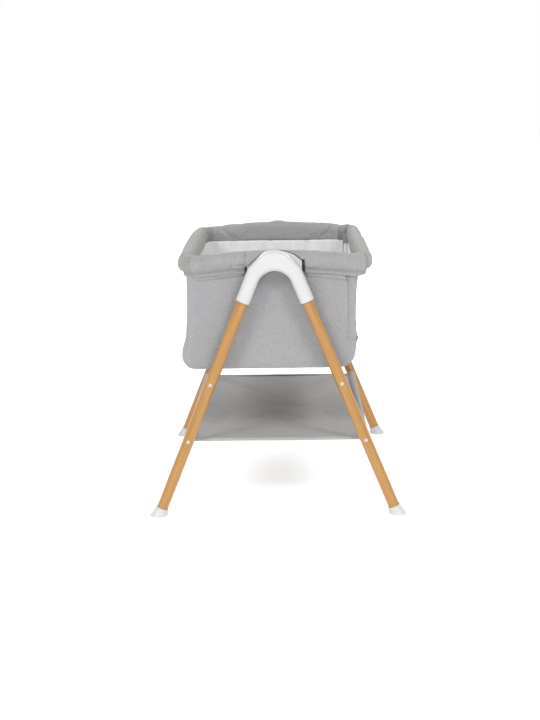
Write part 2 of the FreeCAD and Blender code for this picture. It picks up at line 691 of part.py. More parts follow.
def zip_slider(end):
    """A zip's slider with its pull tab, in front of the teeth."""
    y0 = TUB_HALF_LENGTH + ZIP_THICKNESS + CLOTH_GAP
    body_x = SLIDER_SIZE[0] / 2
    half_height = SLIDER_SIZE[2] / 2
    y1 = y0 + SLIDER_SIZE[1]
    low = SLIDER_Z - half_height
    body = box(ZIP_X - body_x, ZIP_X + body_x, end * y0, end * y1, low, low + SLIDER_SIZE[2])
    pull_x = PULL_SIZE[0] / 2
    y2 = y1 + PULL_SIZE[1]
    top = SLIDER_Z + 2
    pull = box(ZIP_X - pull_x, ZIP_X + pull_x, end * y1, end * y2, top - PULL_SIZE[2], top)
    return body.fuse(pull).removeSplitter()


def stand_nodes():
    """Legs, feet, yokes, saddles, cross tubes, screws and shelf."""
    parts = {}
    rail_screw_set = rail_screws()
    leg_screw_set = yoke_leg_screws()
    saddle_screw_set = saddle_screws()
    holes = screw_holes()
    for end_name, end in ENDS.items():
        for side_name, side in SIDES.items():
            place = end_name + "_" + side_name
            parts["leg_" + place] = leg(side, end).cut(holes).cut(leg_screw_set)
            parts["foot_" + place] = placed(foot(), side, end)
        parts["yoke_" + end_name] = yoke(end, leg_screw_set.fuse(saddle_screw_set))
        parts["saddle_" + end_name] = saddle(end, saddle_screw_set)
        parts["shelf_rod_" + end_name] = shelf_rod(end)
    for side_name, side in SIDES.items():
        parts["upper_rail_" + side_name] = long_rail(side, UPPER_RAIL_Z)
        parts["lower_rail_" + side_name] = long_rail(side, LOWER_RAIL_Z)
    parts["rail_end_plugs"] = rail_end_plugs()
    parts["rail_screws"] = rail_screw_set
    parts["yoke_leg_screws"] = leg_screw_set
    parts["saddle_screws"] = saddle_screw_set
    parts["shelf"] = shelf()
    return parts


def tub_nodes():
    """The tub's frame, board, mattress and cloth, and the folding side with its hinges and zips."""
    parts = {}
    shell = tub_shell()
    ring = rim_ring()
    parts["base_frame"] = base_frame()
    posts = []
    clamps = []
    for end_name, end in ENDS.items():
        for side_name in SIDES:
            upright = post(side_name, end)
            parts["corner_post_" + end_name + "_" + side_name] = upright
            foot_point = post_end(side_name, end, BASE_Z)
            posts.append(rod(POST_RADIUS, foot_point, post_end(side_name, end, POST_TOP_Z)))
        elbow = corner_elbow(end)
        clamp = post_clamp(end)
        parts["end_rail_" + end_name] = end_rail(end)
        parts["corner_elbow_" + end_name] = elbow
        parts["corner_latch_" + end_name] = corner_latch(end)
        parts["end_panel_" + end_name] = end_panel(shell, end)
        parts["lining_" + end_name] = lining(end)
        parts["zip_" + end_name] = zip_chain(end)
        parts["zip_slider_" + end_name] = zip_slider(end)
        clamps.append(clamp)
        parts["rim_pad_" + end_name] = end_pad(ring, end, [elbow, clamp] + posts)
    parts["post_clamps"] = Part.makeCompound(clamps)
    parts["left_rail"] = left_rail()
    parts["rim_pad_left"] = left_pad(ring)
    parts["side_wall_left"] = left_wall(shell)
    parts["skirt_left"] = side_skirt(shell, -1)
    parts["skirt_right"] = side_skirt(shell, 1)
    parts["bottom_cloth"] = bottom_cloth(shell)
    parts["base_board"] = base_board(Part.makeCompound(posts))
    parts["mattress"] = mattress()
    parts["hinge_brackets"] = hinge_brackets(parts["base_frame"])
    parts["hinge_pins"] = hinge_pins()
    parts["drop_rail"] = drop_rail()
    parts["drop_rail_plugs"] = drop_rail_plugs()
    parts["drop_arms"] = drop_arms()
    parts["drop_panel"] = drop_panel(shell)
    parts["rim_pad_drop"] = drop_pad(ring)
    return parts


os.makedirs("parts", exist_ok=True)
for node, shape in {**stand_nodes(), **tub_nodes()}.items():
    shape.exportStep("parts/" + node + ".step")
    size = shape.BoundBox
    low = (round(size.XMin, 1), round(size.YMin, 1), round(size.ZMin, 1))
    high = (round(size.XMax, 1), round(size.YMax, 1), round(size.ZMax, 1))
    print(node, len(shape.Solids), "solids, valid", shape.isValid(), low, high)
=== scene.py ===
from math import atan2, copysign, cos, degrees, exp, pi, radians, sin, sqrt
import bmesh
import bpy
import numpy as np
from mathutils import Matrix, Vector, noise


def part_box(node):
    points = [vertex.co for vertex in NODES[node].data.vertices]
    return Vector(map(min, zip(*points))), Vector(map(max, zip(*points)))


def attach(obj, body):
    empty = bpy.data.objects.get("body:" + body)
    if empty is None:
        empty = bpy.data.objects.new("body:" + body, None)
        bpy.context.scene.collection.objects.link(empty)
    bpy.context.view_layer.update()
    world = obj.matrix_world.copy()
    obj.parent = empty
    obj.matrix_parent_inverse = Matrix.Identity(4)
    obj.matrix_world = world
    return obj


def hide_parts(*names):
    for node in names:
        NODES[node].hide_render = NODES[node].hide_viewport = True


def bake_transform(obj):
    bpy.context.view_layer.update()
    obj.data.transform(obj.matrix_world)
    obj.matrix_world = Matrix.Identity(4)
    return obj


# Looks of the bassinet on its stand, in metres, +Z up.  The near end is at -Y and the side that
# folds down is at +X.  Hard parts come from the frame; every cloth part is built here.

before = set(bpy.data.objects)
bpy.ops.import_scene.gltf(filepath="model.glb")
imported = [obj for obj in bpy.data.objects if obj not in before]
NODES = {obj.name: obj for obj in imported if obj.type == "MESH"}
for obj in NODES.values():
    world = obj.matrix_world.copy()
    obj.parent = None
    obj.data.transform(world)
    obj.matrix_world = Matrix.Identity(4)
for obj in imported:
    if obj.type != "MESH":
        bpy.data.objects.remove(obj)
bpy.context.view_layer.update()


def middle(node):
    low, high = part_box(node)
    return (low + high) / 2


# Places read from the frame
RAIL_Z = middle("left_rail").z
RAIL_SIDE_X = -middle("left_rail").x
RAIL_END_Y = middle("end_rail_far").y
CORNER = 0.050
STRAIGHT_X = RAIL_SIDE_X - CORNER
STRAIGHT_Y = RAIL_END_Y - CORNER
TUB_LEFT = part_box("side_wall_left")[0].x
TUB_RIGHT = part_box("drop_panel")[1].x
TUB_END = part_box("end_panel_far")[1].y
TUB_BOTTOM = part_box("end_panel_near")[0].z
PANEL_BOTTOM = TUB_BOTTOM - 0.006
SEAM_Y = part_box("side_wall_left")[1].y
FOLD_Z = middle("hinge_pins").z
ZIP_X = middle("zip_near").x
POST_X = middle("corner_post_far_right").x
SADDLE_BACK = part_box("saddle_far")[0].y
SADDLE_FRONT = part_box("saddle_far")[1].y
SADDLE_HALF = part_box("saddle_far")[1].x
SADDLE_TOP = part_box("saddle_far")[1].z
UNDER_RIM_Z = RAIL_Z - 0.0285

LEG_LEAN = 0.4073
CLOTH = 0.0016
SECTION_POINTS = 60
STATION = 0.005
SIM_FRAMES = 20
COTTON = {"quality": 5, "mass": 0.15, "tension_stiffness": 12, "compression_stiffness": 12,
          "shear_stiffness": 4, "bending_stiffness": 0.4, "shrink_min": -0.02, "use_pressure": True,
          "vertex_group_mass": "held"}


# ---------------------------------------------------------------- curves and meshes

def hermite(knots, values, at):
    """A smooth curve through a few values, read at many places."""
    knots, values = np.array(knots, float), np.array(values, float)
    at = np.clip(at, knots[0], knots[-1])
    slopes = np.gradient(values, knots)
    i = np.clip(np.searchsorted(knots, at) - 1, 0, len(knots) - 2)
    gap = knots[i + 1] - knots[i]
    t = (at - knots[i]) / gap
    a = (1 + 2 * t) * (1 - t) ** 2 * values[i] + t * (1 - t) ** 2 * gap * slopes[i]
    b = t * t * (3 - 2 * t) * values[i + 1] + t * t * (t - 1) * gap * slopes[i + 1]
    return a + b


def smoothstep(low, high, value):
    """Goes smoothly from 0 at low to 1 at high."""
    t = np.clip((value - low) / (high - low), 0, 1)
    return t * t * (3 - 2 * t)


def running(steps):
    """How far along a line each point is, from the lengths of its steps."""
    return np.concatenate([[0], np.cumsum(steps)])


def lengths_along(line):
    return running(np.linalg.norm(np.diff(line, axis=0), axis=1))


def spaced(loop, count):
    """count points spaced evenly along a line that ends where it starts."""
    length = lengths_along(loop)
    at = np.linspace(0, length[-1], count, endpoint=False)
    return np.stack([np.interp(at, length, values) for values in loop.T], 1)


def closed_curve(corners, count):
    """A closed smooth curve through the corners, as count points spaced evenly."""
    p = np.asarray(corners, float)
    before, after, beyond = np.roll(p, 1, 0), np.roll(p, -1, 0), np.roll(p, -2, 0)
    fine = []
    for t in np.linspace(0, 1, 12, endpoint=False):
        fine.append(0.5 * (2 * p + (after - before) * t
                           + (2 * before - 5 * p + 4 * after - beyond) * t ** 2
                           + (3 * p - before - 3 * after + beyond) * t ** 3))
    fine = np.stack(fine, 1).reshape(-1, p.shape[1])
    return spaced(np.vstack([fine, fine[:1]]), count)


def arc(x, y, radius, start, stop, count=9):
    """Points of an arc in plan round (x, y), with angles in degrees from +X."""
    return [(x + radius * cos(a), y + radius * sin(a)) for a in np.radians(np.linspace(start, stop, count))]


def turn(count):
    """count angles once round."""
    return np.linspace(0, 2 * pi, count, endpoint=False)


def read(items, key, width=3, kind=np.float32):
    """One property of a mesh's points, corners or faces, as an array."""
    values = np.zeros(len(items) * width, kind)
    items.foreach_get(key, values)
    return values.reshape(-1, width)


def points_of(piece):
    return read(piece.data.vertices, "co").astype(float)


def normals_of(piece):
    return read(piece.data.vertices, "normal").astype(float)


def set_points(piece, points):
    piece.data.vertices.foreach_set("co", np.asarray(points, np.float32).ravel())
    piece.data.update()


def new_piece(name, points, faces, uv=None):
    mesh = bpy.data.meshes.new(name)
    mesh.from_pydata([tuple(p) for p in points], [], faces)
    mesh.update()
    if uv is not None:
        layer = mesh.uv_layers.new(name="cloth_metres")
        corners = read(mesh.loops, "vertex_index", 1, np.int32).ravel()
        layer.data.foreach_set("uv", np.asarray(uv, np.float32)[corners].ravel())
    mesh.polygons.foreach_set("use_smooth", [True] * len(mesh.polygons))
    piece = bpy.data.objects.new(name, mesh)
    bpy.context.scene.collection.objects.link(piece)
    return piece


def drop_loose_points(work):
    bmesh.ops.delete(work, geom=[v for v in work.verts if not v.link_faces], context="VERTS")


def face_outwards(work):
    bmesh.ops.recalc_face_normals(work, faces=work.faces)


def mend(piece, change):
    """Changes a piece's mesh with one of the two functions above."""
    work = bmesh.new()
    work.from_mesh(piece.data)
    change(work)
    work.to_mesh(piece.data)
    work.free()


def grid_piece(name, rows, keep=None):
    """A sheet through a grid of points.  keep(i, j) can leave cells out."""
    rows = np.array(rows, float)
    n, m = rows.shape[:2]
    across = running(np.linalg.norm(np.diff(rows, axis=1), axis=2).mean(0))
    down = running(np.linalg.norm(np.diff(rows, axis=0), axis=2).mean(1))
    uv = np.stack([np.tile(across, n), np.repeat(down, m)], 1)
    faces = []
    for i in range(n - 1):
        for j in range(m - 1):
            if keep is None or keep(i, j):
                k = i * m + j
                faces.append((k, k + 1, k + m + 1, k + m))
    piece = new_piece(name, rows.reshape(-1, 3), faces, uv)
    if keep:
        mend(piece, drop_loose_points)
    return piece


def ring_faces(n, m, closed=False, first=0):
    """Faces between n rings of m points; closed also joins the last ring to the first one."""
    faces = []
    for i in range(n if closed else n - 1):
        a, b = first + i * m, first + (i + 1) % n * m
        for j in range(m):
            k = (j + 1) % m
            faces.append((a + j, a + k, b + k, b + j))
    return faces


def loft_piece(name, sections, stations):
    """A closed roll through sections of the same number of points, with a fan at each end."""
    sections = np.array(sections)
    n, m = sections.shape[:2]
    around = running(np.linalg.norm(np.roll(sections, -1, 1) - sections, axis=2).mean(0))[:-1]
    uv = np.stack([np.repeat(stations, m), np.tile(around, n)], 1)
    uv = np.vstack([uv, [[stations[0], 0], [stations[-1], 0]]])
    points = np.vstack([sections.reshape(-1, 3), sections[0].mean(0), sections[-1].mean(0)])
    faces = ring_faces(n, m)
    last = (n - 1) * m
    for j in range(m):
        k = (j + 1) % m
        faces.append((n * m, k, j))
        faces.append((n * m + 1, last + j, last + k))
    piece = new_piece(name, points, faces, uv)
    mend(piece, face_outwards)
    return piece


def loop_cord(name, line, face, width, height):
    """A sewn cord that follows a line and closes on itself, on cloth that faces one way."""
    along = np.roll(line, -1, 0) - np.roll(line, 1, 0)
    along /= np.linalg.norm(along, axis=1)[:, None]
    face = np.array(face, float)
    across = np.cross(along, face)
    shape = [(cos(a) * 0.5, sin(a) * 0.5 + 0.3) for a in turn(8)]
    points = np.stack([line + across * (a * width) + face * (b * height) for a, b in shape], 1)
    n, m = points.shape[:2]
    uv = np.stack([np.repeat(np.arange(n) * 0.006, m), np.tile(np.arange(m) * 0.001, n)], 1)
    piece = new_piece(name, points.reshape(-1, 3), ring_faces(n, m, closed=True), uv)
    mend(piece, face_outwards)
    return piece


def apply_modifiers(piece):
    view = bpy.context.evaluated_depsgraph_get()
    mesh = bpy.data.meshes.new_from_object(piece.evaluated_get(view))
    mesh.name = piece.name
    piece.modifiers.clear()
    piece.data = mesh
    mesh.polygons.foreach_set("use_smooth", [True] * len(mesh.polygons))


def thicken(piece, thickness=CLOTH, offset=0.0):
    """Gives a sheet its cloth thickness, and closes it round the edge."""
    solid = piece.modifiers.new("thickness", "SOLIDIFY")
    solid.thickness = thickness
    solid.offset = offset
    apply_modifiers(piece)
    mend(piece, face_outwards)


def subdivide(piece):
    smooth = piece.modifiers.new("smooth", "SUBSURF")
    smooth.levels = 1
    smooth.render_levels = 1
    apply_modifiers(piece)


def press_creases(piece, creases):
    """Presses folds in a cloth: each is (start, end, depth, width), deepest at its start."""
    points = points_of(piece)
    moved = np.zeros(len(points))
    for start, end, depth, width in creases:
        start = np.array(start, float)
        run = np.array(end, float) - start
        t = np.clip((points - start) @ run / (run @ run), 0, 1)
        away = np.linalg.norm(points - start - t[:, None] * run, axis=1) / width
        moved -= depth * (1 - 0.85 * t ** 1.5) * np.exp(-away ** 2) * (1 - 0.9 * away ** 2)
    set_points(piece, points + normals_of(piece) * moved[:, None])


def ripple(piece, size, height, seed, stretch=(1, 1, 1)):
    """Uneven soft waves over a cloth, size across and height tall."""
    points = points_of(piece)
    shift = Vector((seed * 3.1, seed * 5.7, seed * 9.3))
    wave = [noise.noise(Vector(p) + shift) for p in points * (np.array(stretch) / size)]
    set_points(piece, points + normals_of(piece) * (np.array(wave) * height)[:, None])


def inflate(pieces, pressure, limit):
    """Fills closed cloth pieces with air in one cloth simulation.  Each is (piece, held points)."""
    for piece, held in pieces:
        group = piece.vertex_groups.new(name="held")
        for index in np.flatnonzero(held > 0):
            group.add([int(index)], float(held[index]), "REPLACE")
        cloth = piece.modifiers.new("cloth", "CLOTH")
        for key, value in COTTON.items():
            setattr(cloth.settings, key, value)
        cloth.settings.uniform_pressure_force = pressure
        cloth.settings.effector_weights.gravity = 0
        cloth.point_cache.frame_end = SIM_FRAMES
    for number in range(1, SIM_FRAMES + 1):
        bpy.context.scene.frame_set(number)
    view = bpy.context.evaluated_depsgraph_get()
    for piece, held in pieces:
        before = points_of(piece)
        move = read(piece.evaluated_get(view).data.vertices, "co") - before
        length = np.linalg.norm(move, axis=1)[:, None]
        move *= np.minimum(1, limit / np.maximum(length, 1e-9))
        piece.modifiers.clear()
        set_points(piece, before + move)
    bpy.context.scene.frame_set(1)


# ---------------------------------------------------------------- materials

class Nodes:
    """A material and short ways to add nodes to it.  Uniform values are named like its sockets."""

    def __init__(self, name, **uniform):
        self.material = bpy.data.materials.new(name)
        self.material.use_nodes = True
        self.tree = self.material.node_tree
        self.shader = self.tree.nodes["Principled BSDF"]
        for key, value in uniform.items():
            self.shader.inputs[key.replace("_", " ").title()].default_value = value

    def add(self, kind, values=None, **settings):
        node = self.tree.nodes.new("ShaderNode" + kind)
        for key, value in settings.items():
            setattr(node, key, value)
        for key, value in (values or {}).items():
            self.put(node.inputs[key], value)
        return node

    def put(self, socket, value):
        if isinstance(value, bpy.types.NodeSocket):
            self.tree.links.new(value, socket)
        else:
            socket.default_value = value

    def math(self, operation, first, second=0.0, third=0.0):
        return self.add("Math", {0: first, 1: second, 2: third}, operation=operation).outputs[0]

    def parts(self, place):
        return list(self.add("SeparateXYZ", {0: place}).outputs)

    def wave(self, part, pitch, kind="SINE"):
        return self.math(kind, self.math("MULTIPLY", part, 2 * pi / pitch))

    def noise(self, where, scale, detail=3.0, roughness=0.5):
        """Noise; with a scale for each axis it is drawn out into streaks."""
        if isinstance(scale, tuple):
            where = self.add("Mapping", {"Vector": where, "Scale": scale}).outputs[0]
            scale = 1.0
        values = {"Vector": where, "Scale": scale, "Detail": detail, "Roughness": roughness}
        return self.add("TexNoise", values).outputs["Fac"]

    def ramp(self, factor, stops):
        node = self.add("ValToRGB", {"Fac": factor})
        while len(node.color_ramp.elements) < len(stops):
            node.color_ramp.elements.new(0.5)
        for element, (place, colour) in zip(node.color_ramp.elements, stops):
            element.position = place
            element.color = (*colour, 1)
        return node.outputs["Color"]

    def tones(self, factor, dark, pale, spread=0.20):
        return self.ramp(factor, [(0.5 - spread, dark), (0.5 + spread, pale)])

    def spread(self, factor, low, high, start=0.0, stop=1.0):
        values = {"Value": factor, "From Min": start, "From Max": stop, "To Min": low, "To Max": high}
        return self.add("MapRange", values).outputs[0]

    def shade(self, colour, factor, low, high):
        """colour made darker or paler by a factor between low and high."""
        amount = self.spread(factor, low, high, 0.25, 0.75)
        grey = self.add("CombineColor", {0: amount, 1: amount, 2: amount}).outputs[0]
        values = {"Factor": 1.0, "A": colour, "B": grey}
        node = self.add("Mix", data_type="RGBA", blend_type="MULTIPLY")
        for key, value in values.items():
            self.put(node.inputs[key], value)
        return node.outputs["Result"]

    def bump(self, height, distance, below=None):
        values = {"Height": height, "Distance": distance, "Strength": 1.0}
        if below is not None:
            values["Normal"] = below
        return self.add("Bump", values).outputs[0]

    def finish(self, colour, normal=None, roughness=None):
        for key, value in (("Base Color", colour), ("Normal", normal), ("Roughness", roughness)):
            if value is not None:
                self.put(self.shader.inputs[key], value)
        return self.material

    def cloth_place(self):
        return self.add("UVMap", uv_map="cloth_metres").outputs[0]

    def object_place(self):
        return self.add("TexCoord").outputs["Object"]


def weave(nodes, place, pitch):
    """The over and under of a plain weave, from 0 to 1."""
    across, along = nodes.parts(place)[:2]
    both = nodes.math("MULTIPLY", nodes.wave(across, pitch), nodes.wave(along, pitch))
    return nodes.math("MULTIPLY_ADD", both, 0.5, 0.5)


def heather_fabric(name, dark, pale, pitch=0.0014):
    """Woven cloth of mixed pale and dark yarn, with thicker slubs both ways."""
    nodes = Nodes(name, roughness=0.92, sheen_weight=0.25, sheen_roughness=0.5)
    place = nodes.cloth_place()
    threads = nodes.noise(place, (120, 900, 1), 2.0)
    cross = nodes.noise(place, (900, 120, 1), 2.0)
    yarn = nodes.math("MULTIPLY_ADD", nodes.math("ADD", threads, cross), 0.5, 0.0)
    over = weave(nodes, place, pitch)
    colour = nodes.tones(yarn, dark, pale, 0.14)
    colour = nodes.shade(colour, over, 0.93, 1.05)
    colour = nodes.shade(colour, nodes.noise(place, 14.0), 0.965, 1.03)
    for slubs in ((35, 420, 1), (380, 30, 1)):
        colour = nodes.shade(colour, nodes.noise(place, slubs, 2.0), 0.955, 1.045)
    fuzz = nodes.noise(place, 700.0, 2.0)
    return nodes.finish(colour, nodes.bump(fuzz, 0.0003, nodes.bump(over, 0.00045)))


def net_fabric():
    """White knitted net with small open holes."""
    nodes = Nodes("white_net", roughness=0.7)
    place = nodes.cloth_place()
    across, along = nodes.parts(place)[:2]
    pitch = 0.0034
    columns, courses = nodes.wave(across, pitch, "COSINE"), nodes.wave(along, pitch / 0.58, "COSINE")
    hole = nodes.math("ABSOLUTE", nodes.math("MULTIPLY", columns, courses))
    nodes.put(nodes.shader.inputs["Alpha"], nodes.math("LESS_THAN", hole, 0.62))
    nodes.material.blend_method = "HASHED"
    colour = nodes.tones(nodes.noise(place, 600.0), (0.74, 0.74, 0.73), (0.86, 0.86, 0.85))
    return nodes.finish(colour, nodes.bump(hole, 0.0005))


def lining_fabric():
    """White brushed cotton lining, with a soft vertical mottle of painted shade from its gathers."""
    nodes = Nodes("white_lining_cloth", roughness=0.9, sheen_weight=0.2)
    place = nodes.cloth_place()
    over = weave(nodes, place, 0.0012)
    # Painted shade: upright streaks of darker colour stand in for the shade between the lining's gathers.
    colour = nodes.tones(nodes.noise(place, (28, 5, 1)), (0.67, 0.67, 0.655), (0.79, 0.79, 0.78), 0.18)
    return nodes.finish(nodes.shade(colour, over, 0.97, 1.02), nodes.bump(over, 0.0003))


def ribbed_fabric():
    """The shelf's canvas, with fine ribs across it and a faint warm cast."""
    nodes = Nodes("shelf_canvas", roughness=0.9)
    place = nodes.cloth_place()
    along = nodes.parts(place)[1]
    rib = nodes.math("MULTIPLY_ADD", nodes.wave(along, 0.0026), 0.5, 0.5)
    colour = nodes.tones(nodes.noise(place, (9, 260, 1)), (0.345, 0.336, 0.325), (0.440, 0.430, 0.418))
    colour = nodes.shade(colour, rib, 0.90, 1.06)
    colour = nodes.shade(colour, nodes.noise(place, 9.0), 0.95, 1.04)
    return nodes.finish(colour, nodes.bump(weave(nodes, place, 0.0013), 0.0002, nodes.bump(rib, 0.0005)))


def quilt_fabric():
    """The mattress cover: white jersey with fine stitches."""
    nodes = Nodes("mattress_jersey", roughness=0.88)
    place = nodes.cloth_place()
    over = weave(nodes, place, 0.0016)
    colour = nodes.tones(nodes.noise(place, 30.0), (0.70, 0.71, 0.71), (0.80, 0.80, 0.80))
    return nodes.finish(nodes.shade(colour, over, 0.95, 1.03), nodes.bump(over, 0.0004))


def oak_tube():
    """Printed oak on the leg tubes: grain that runs along each leaning leg, under satin varnish."""
    nodes = Nodes("honey_oak", coat_weight=0.45, coat_roughness=0.16)
    x, y, z = nodes.parts(nodes.object_place())
    across = nodes.math("ADD", nodes.math("ABSOLUTE", x), nodes.math("MULTIPLY", z, LEG_LEAN))
    place = nodes.add("CombineXYZ", {0: across, 1: y, 2: z}).outputs[0]
    streak = nodes.noise(place, (420, 420, 9), 4.0, 0.6)
    broad = nodes.noise(place, (75, 75, 3))
    pores = nodes.noise(place, (1500, 1500, 45), 2.0)
    grain = nodes.math("MULTIPLY_ADD", streak, 0.55, nodes.math("MULTIPLY", broad, 0.45))
    colour = nodes.ramp(grain, [(0.33, (0.32, 0.152, 0.034)), (0.50, (0.43, 0.214, 0.052)),
                                (0.66, (0.51, 0.272, 0.080))])
    colour = nodes.shade(colour, pores, 0.93, 1.03)
    return nodes.finish(colour, nodes.bump(streak, 0.00012), nodes.spread(pores, 0.30, 0.46))


def scaled(colour, factor):
    return tuple(factor * c for c in colour)


def moulded_plastic(name, colour, roughness=0.38):
    """Injection-moulded plastic with a fine spark-eroded grain."""
    nodes = Nodes(name)
    place = nodes.object_place()
    spark = nodes.noise(place, 2600.0, 3.0, 0.7)
    base = nodes.tones(nodes.noise(place, 18.0), scaled(colour, 0.975), colour)
    gloss = nodes.spread(spark, roughness - 0.07, roughness + 0.07)
    return nodes.finish(base, nodes.bump(spark, 0.00006), gloss)


def zinc_plate():
    """Plated steel with fine drawing marks."""
    nodes = Nodes("zinc_plate", metallic=1.0)
    marks = nodes.noise(nodes.object_place(), (40, 900, 40), 4.0, 0.6)
    colour = (0.72, 0.73, 0.74)
    base = nodes.tones(marks, scaled(colour, 0.82), colour)
    return nodes.finish(base, nodes.bump(marks, 0.00004), nodes.spread(marks, 0.24, 0.42))


def painted_steel():
    """Dark powder coat with a little orange peel and faint scuffs."""
    nodes = Nodes("dark_painted_steel", roughness=0.42)
    place = nodes.object_place()
    colour = (0.060, 0.062, 0.066)
    base = nodes.tones(nodes.noise(place, 60.0, 4.0, 0.65), scaled(colour, 0.86), colour, 0.22)
    return nodes.finish(base, nodes.bump(nodes.noise(place, 900.0, 2.0), 0.00008))


def fibre_board():
    nodes = Nodes("fibre_board", roughness=0.8)
    chips = nodes.noise(nodes.object_place(), (180, 60, 300), 5.0, 0.7)
    colour = nodes.tones(chips, (0.23, 0.15, 0.085), (0.36, 0.25, 0.15))
    return nodes.finish(colour, nodes.bump(chips, 0.0003))


GREY = heather_fabric("grey_heather", (0.290, 0.287, 0.298), (0.412, 0.407, 0.421))
RIM_END = heather_fabric("rim_heather_cool", (0.285, 0.285, 0.290), (0.397, 0.397, 0.404))
RIM_SIDE = heather_fabric("rim_heather_warm", (0.255, 0.249, 0.234), (0.350, 0.342, 0.322))
PIPING = heather_fabric("piping_heather", (0.33, 0.33, 0.335), (0.42, 0.42, 0.43), 0.0009)
NET = net_fabric()
LINING = lining_fabric()
CANVAS = ribbed_fabric()
QUILT = quilt_fabric()
OAK = oak_tube()
WHITE = moulded_plastic("white_moulding", (0.575, 0.58, 0.58))
CAP = moulded_plastic("pale_screw_cap", (0.52, 0.53, 0.54), 0.3)
DARK = moulded_plastic("dark_moulding", (0.035, 0.035, 0.037), 0.5)
ZINC = zinc_plate()
STEEL = painted_steel()
ZIP_METAL = moulded_plastic("grey_zip_lacquer", (0.26, 0.26, 0.265), 0.4)
BOARD = fibre_board()


def dress(piece, material, slot_name, body=None, node=None):
    """Gives a piece its material and the body it moves with, if any, and hides the frame node it stands for."""
    piece.data.materials.clear()
    piece.data.materials.append(material)
    if body:
        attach(piece, body)
    if node:
        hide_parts(node)


def finish_frame_nodes():
    """Puts a finish on each frame node that stays as it is, by how its name starts."""
    starts = {
        "leg_": OAK, "rail_screws": CAP, "base_board": BOARD, "foot_": WHITE, "yoke_near": WHITE,
        "yoke_far": WHITE, "saddle_near": WHITE, "saddle_far": WHITE, "upper_rail_": WHITE,
        "yoke_leg_screws": ZINC, "saddle_screws": ZINC, "hinge_pins": ZINC, "rail_end_plugs": DARK,
        "corner_elbow_": DARK, "corner_latch_": DARK, "post_clamps": DARK, "drop_rail_plugs": DARK,
        "shelf_rod_": STEEL, "base_frame": STEEL, "hinge_brackets": STEEL, "drop_rail": STEEL,
        "drop_arms": STEEL, "corner_post_": STEEL, "end_rail_": STEEL, "left_rail": STEEL,
        "lower_rail_": STEEL,
    }
    for name, node in NODES.items():
        found = [start for start in starts if name.startswith(start)]
        if found:
            node.data.materials.clear()
            node.data.materials.append(starts[max(found, key=len)])
            node.data.polygons.foreach_set("material_index", [0] * len(node.data.polygons))


# ---------------------------------------------------------------- rim rolls

# Half of the roll's outline: offsets outwards from the rail, and heights over it
ROLL = [(-0.0200, -0.0215), (-0.0212, -0.0100), (-0.0212, 0.0050), (-0.0205, 0.0200), (-0.0160, 0.0305),
        (-0.0070, 0.0355), (0.0040, 0.0350), (0.0130, 0.0295), (0.0190, 0.0195), (0.0208, 0.0080),
        (0.0190, -0.0030), (0.0140, -0.0098), (0.0068, -0.0130), (0.0052, -0.0160), (0.0046, -0.0220),
        (0.0030, -0.0272), (-0.0030, -0.0285), (-0.0140, -0.0275)]
SIDE_ROLL_LIFT = -0.0125
# Angles of the corner seams: the right one from +X, the left one from the left side
RIGHT_SEAM = 44.85
LEFT_SEAM = 68
# How much smaller a roll is near a seam: distances from it, and sizes
SEAM_AT = [0.0, 0.0012, 0.0035, 0.008]
SEAM_SIZE = [0.972, 0.990, 0.998, 1.0]


def arc_stations(x, y, start, stop):
    """Points and outward ways round one corner of the rim, angles in degrees from +X."""
    count = max(4, int(abs(radians(stop - start)) * (CORNER + 0.02) / STATION))
    angles = np.radians(np.linspace(start, stop, count + 1))
    way = np.stack([np.cos(angles), np.sin(angles)], 1)
    return np.array((x, y)) + way * CORNER, way


def line_stations(start, stop, way, step=STATION):
    start, stop = np.array(start), np.array(stop)
    count = max(2, int(np.linalg.norm(stop - start) / step))
    t = np.linspace(0, 1, count + 1)[1:-1, None]
    return start + t * (stop - start), np.repeat([way], len(t), 0)


def saddle_top(x):
    """Height over the rail of the saddle's curved top."""
    rise = 0.028
    radius = (SADDLE_HALF ** 2 + rise ** 2) / (2 * rise)
    return SADDLE_TOP - RAIL_Z - radius + sqrt(max(radius ** 2 - x ** 2, 0))


def arch_outline(x):
    """Height of the white arch's outer edge, where the cover is drawn against it."""
    return np.interp(x, [-0.078, -0.069, -0.039, -0.015, 0.005, 0.030, 0.060],
                     [0.712, 0.719, 0.745, 0.7555, 0.759, 0.7545, 0.742])


def crown(x):
    """How much lower than its middle an end roll is, at x."""
    return -0.0125 * min(1, abs(x) / 0.215) ** 1.5


def pulled_over_saddle(x):
    """The end roll's outline over the saddle: drawn down to the arch on the left, open on the right."""
    lower = RAIL_Z + crown(x)
    top = RAIL_Z + saddle_top(np.clip(x, -SADDLE_HALF, SADDLE_HALF)) + 0.0008 - lower
    crest = max(0.0355, top + 0.0014)
    opened = smoothstep(0.004, 0.022, x)
    drawn = 1 - opened
    front = SADDLE_FRONT - RAIL_END_Y
    bulge = ((front + 0.0040 + 0.0042 * smoothstep(-0.020, -0.070, x)) * drawn
             + (front - 0.0012 + 0.0092 * smoothstep(0.045, 0.078, x)) * opened)
    inner = (front + 0.0008) * drawn + (front - 0.0030) * opened
    edge = min(arch_outline(x) + 0.0016 - lower, top - 0.001) * drawn + (top + 0.0014) * opened
    wall = SADDLE_BACK - RAIL_END_Y - 0.0016
    upper = max(crest - 0.0065, (crest + edge) / 2)
    waist = max(crest - 0.0170, edge + 0.3 * (crest - edge))
    return ROLL[:5] + [
        (-0.0075, crest), (-0.0005, crest + 0.0002), (0.0055, crest - 0.0012),
        (0.0070 + 0.42 * (bulge - 0.0070), upper), (bulge, waist), (bulge - 0.0004, edge),
        (inner, edge + 0.0003), (inner - 0.0002, top), (wall + 0.001, top - 0.0005),
        (wall, top - 0.006), (wall, -0.0250), (wall - 0.0012, -0.0280), (-0.0185, -0.0270)]


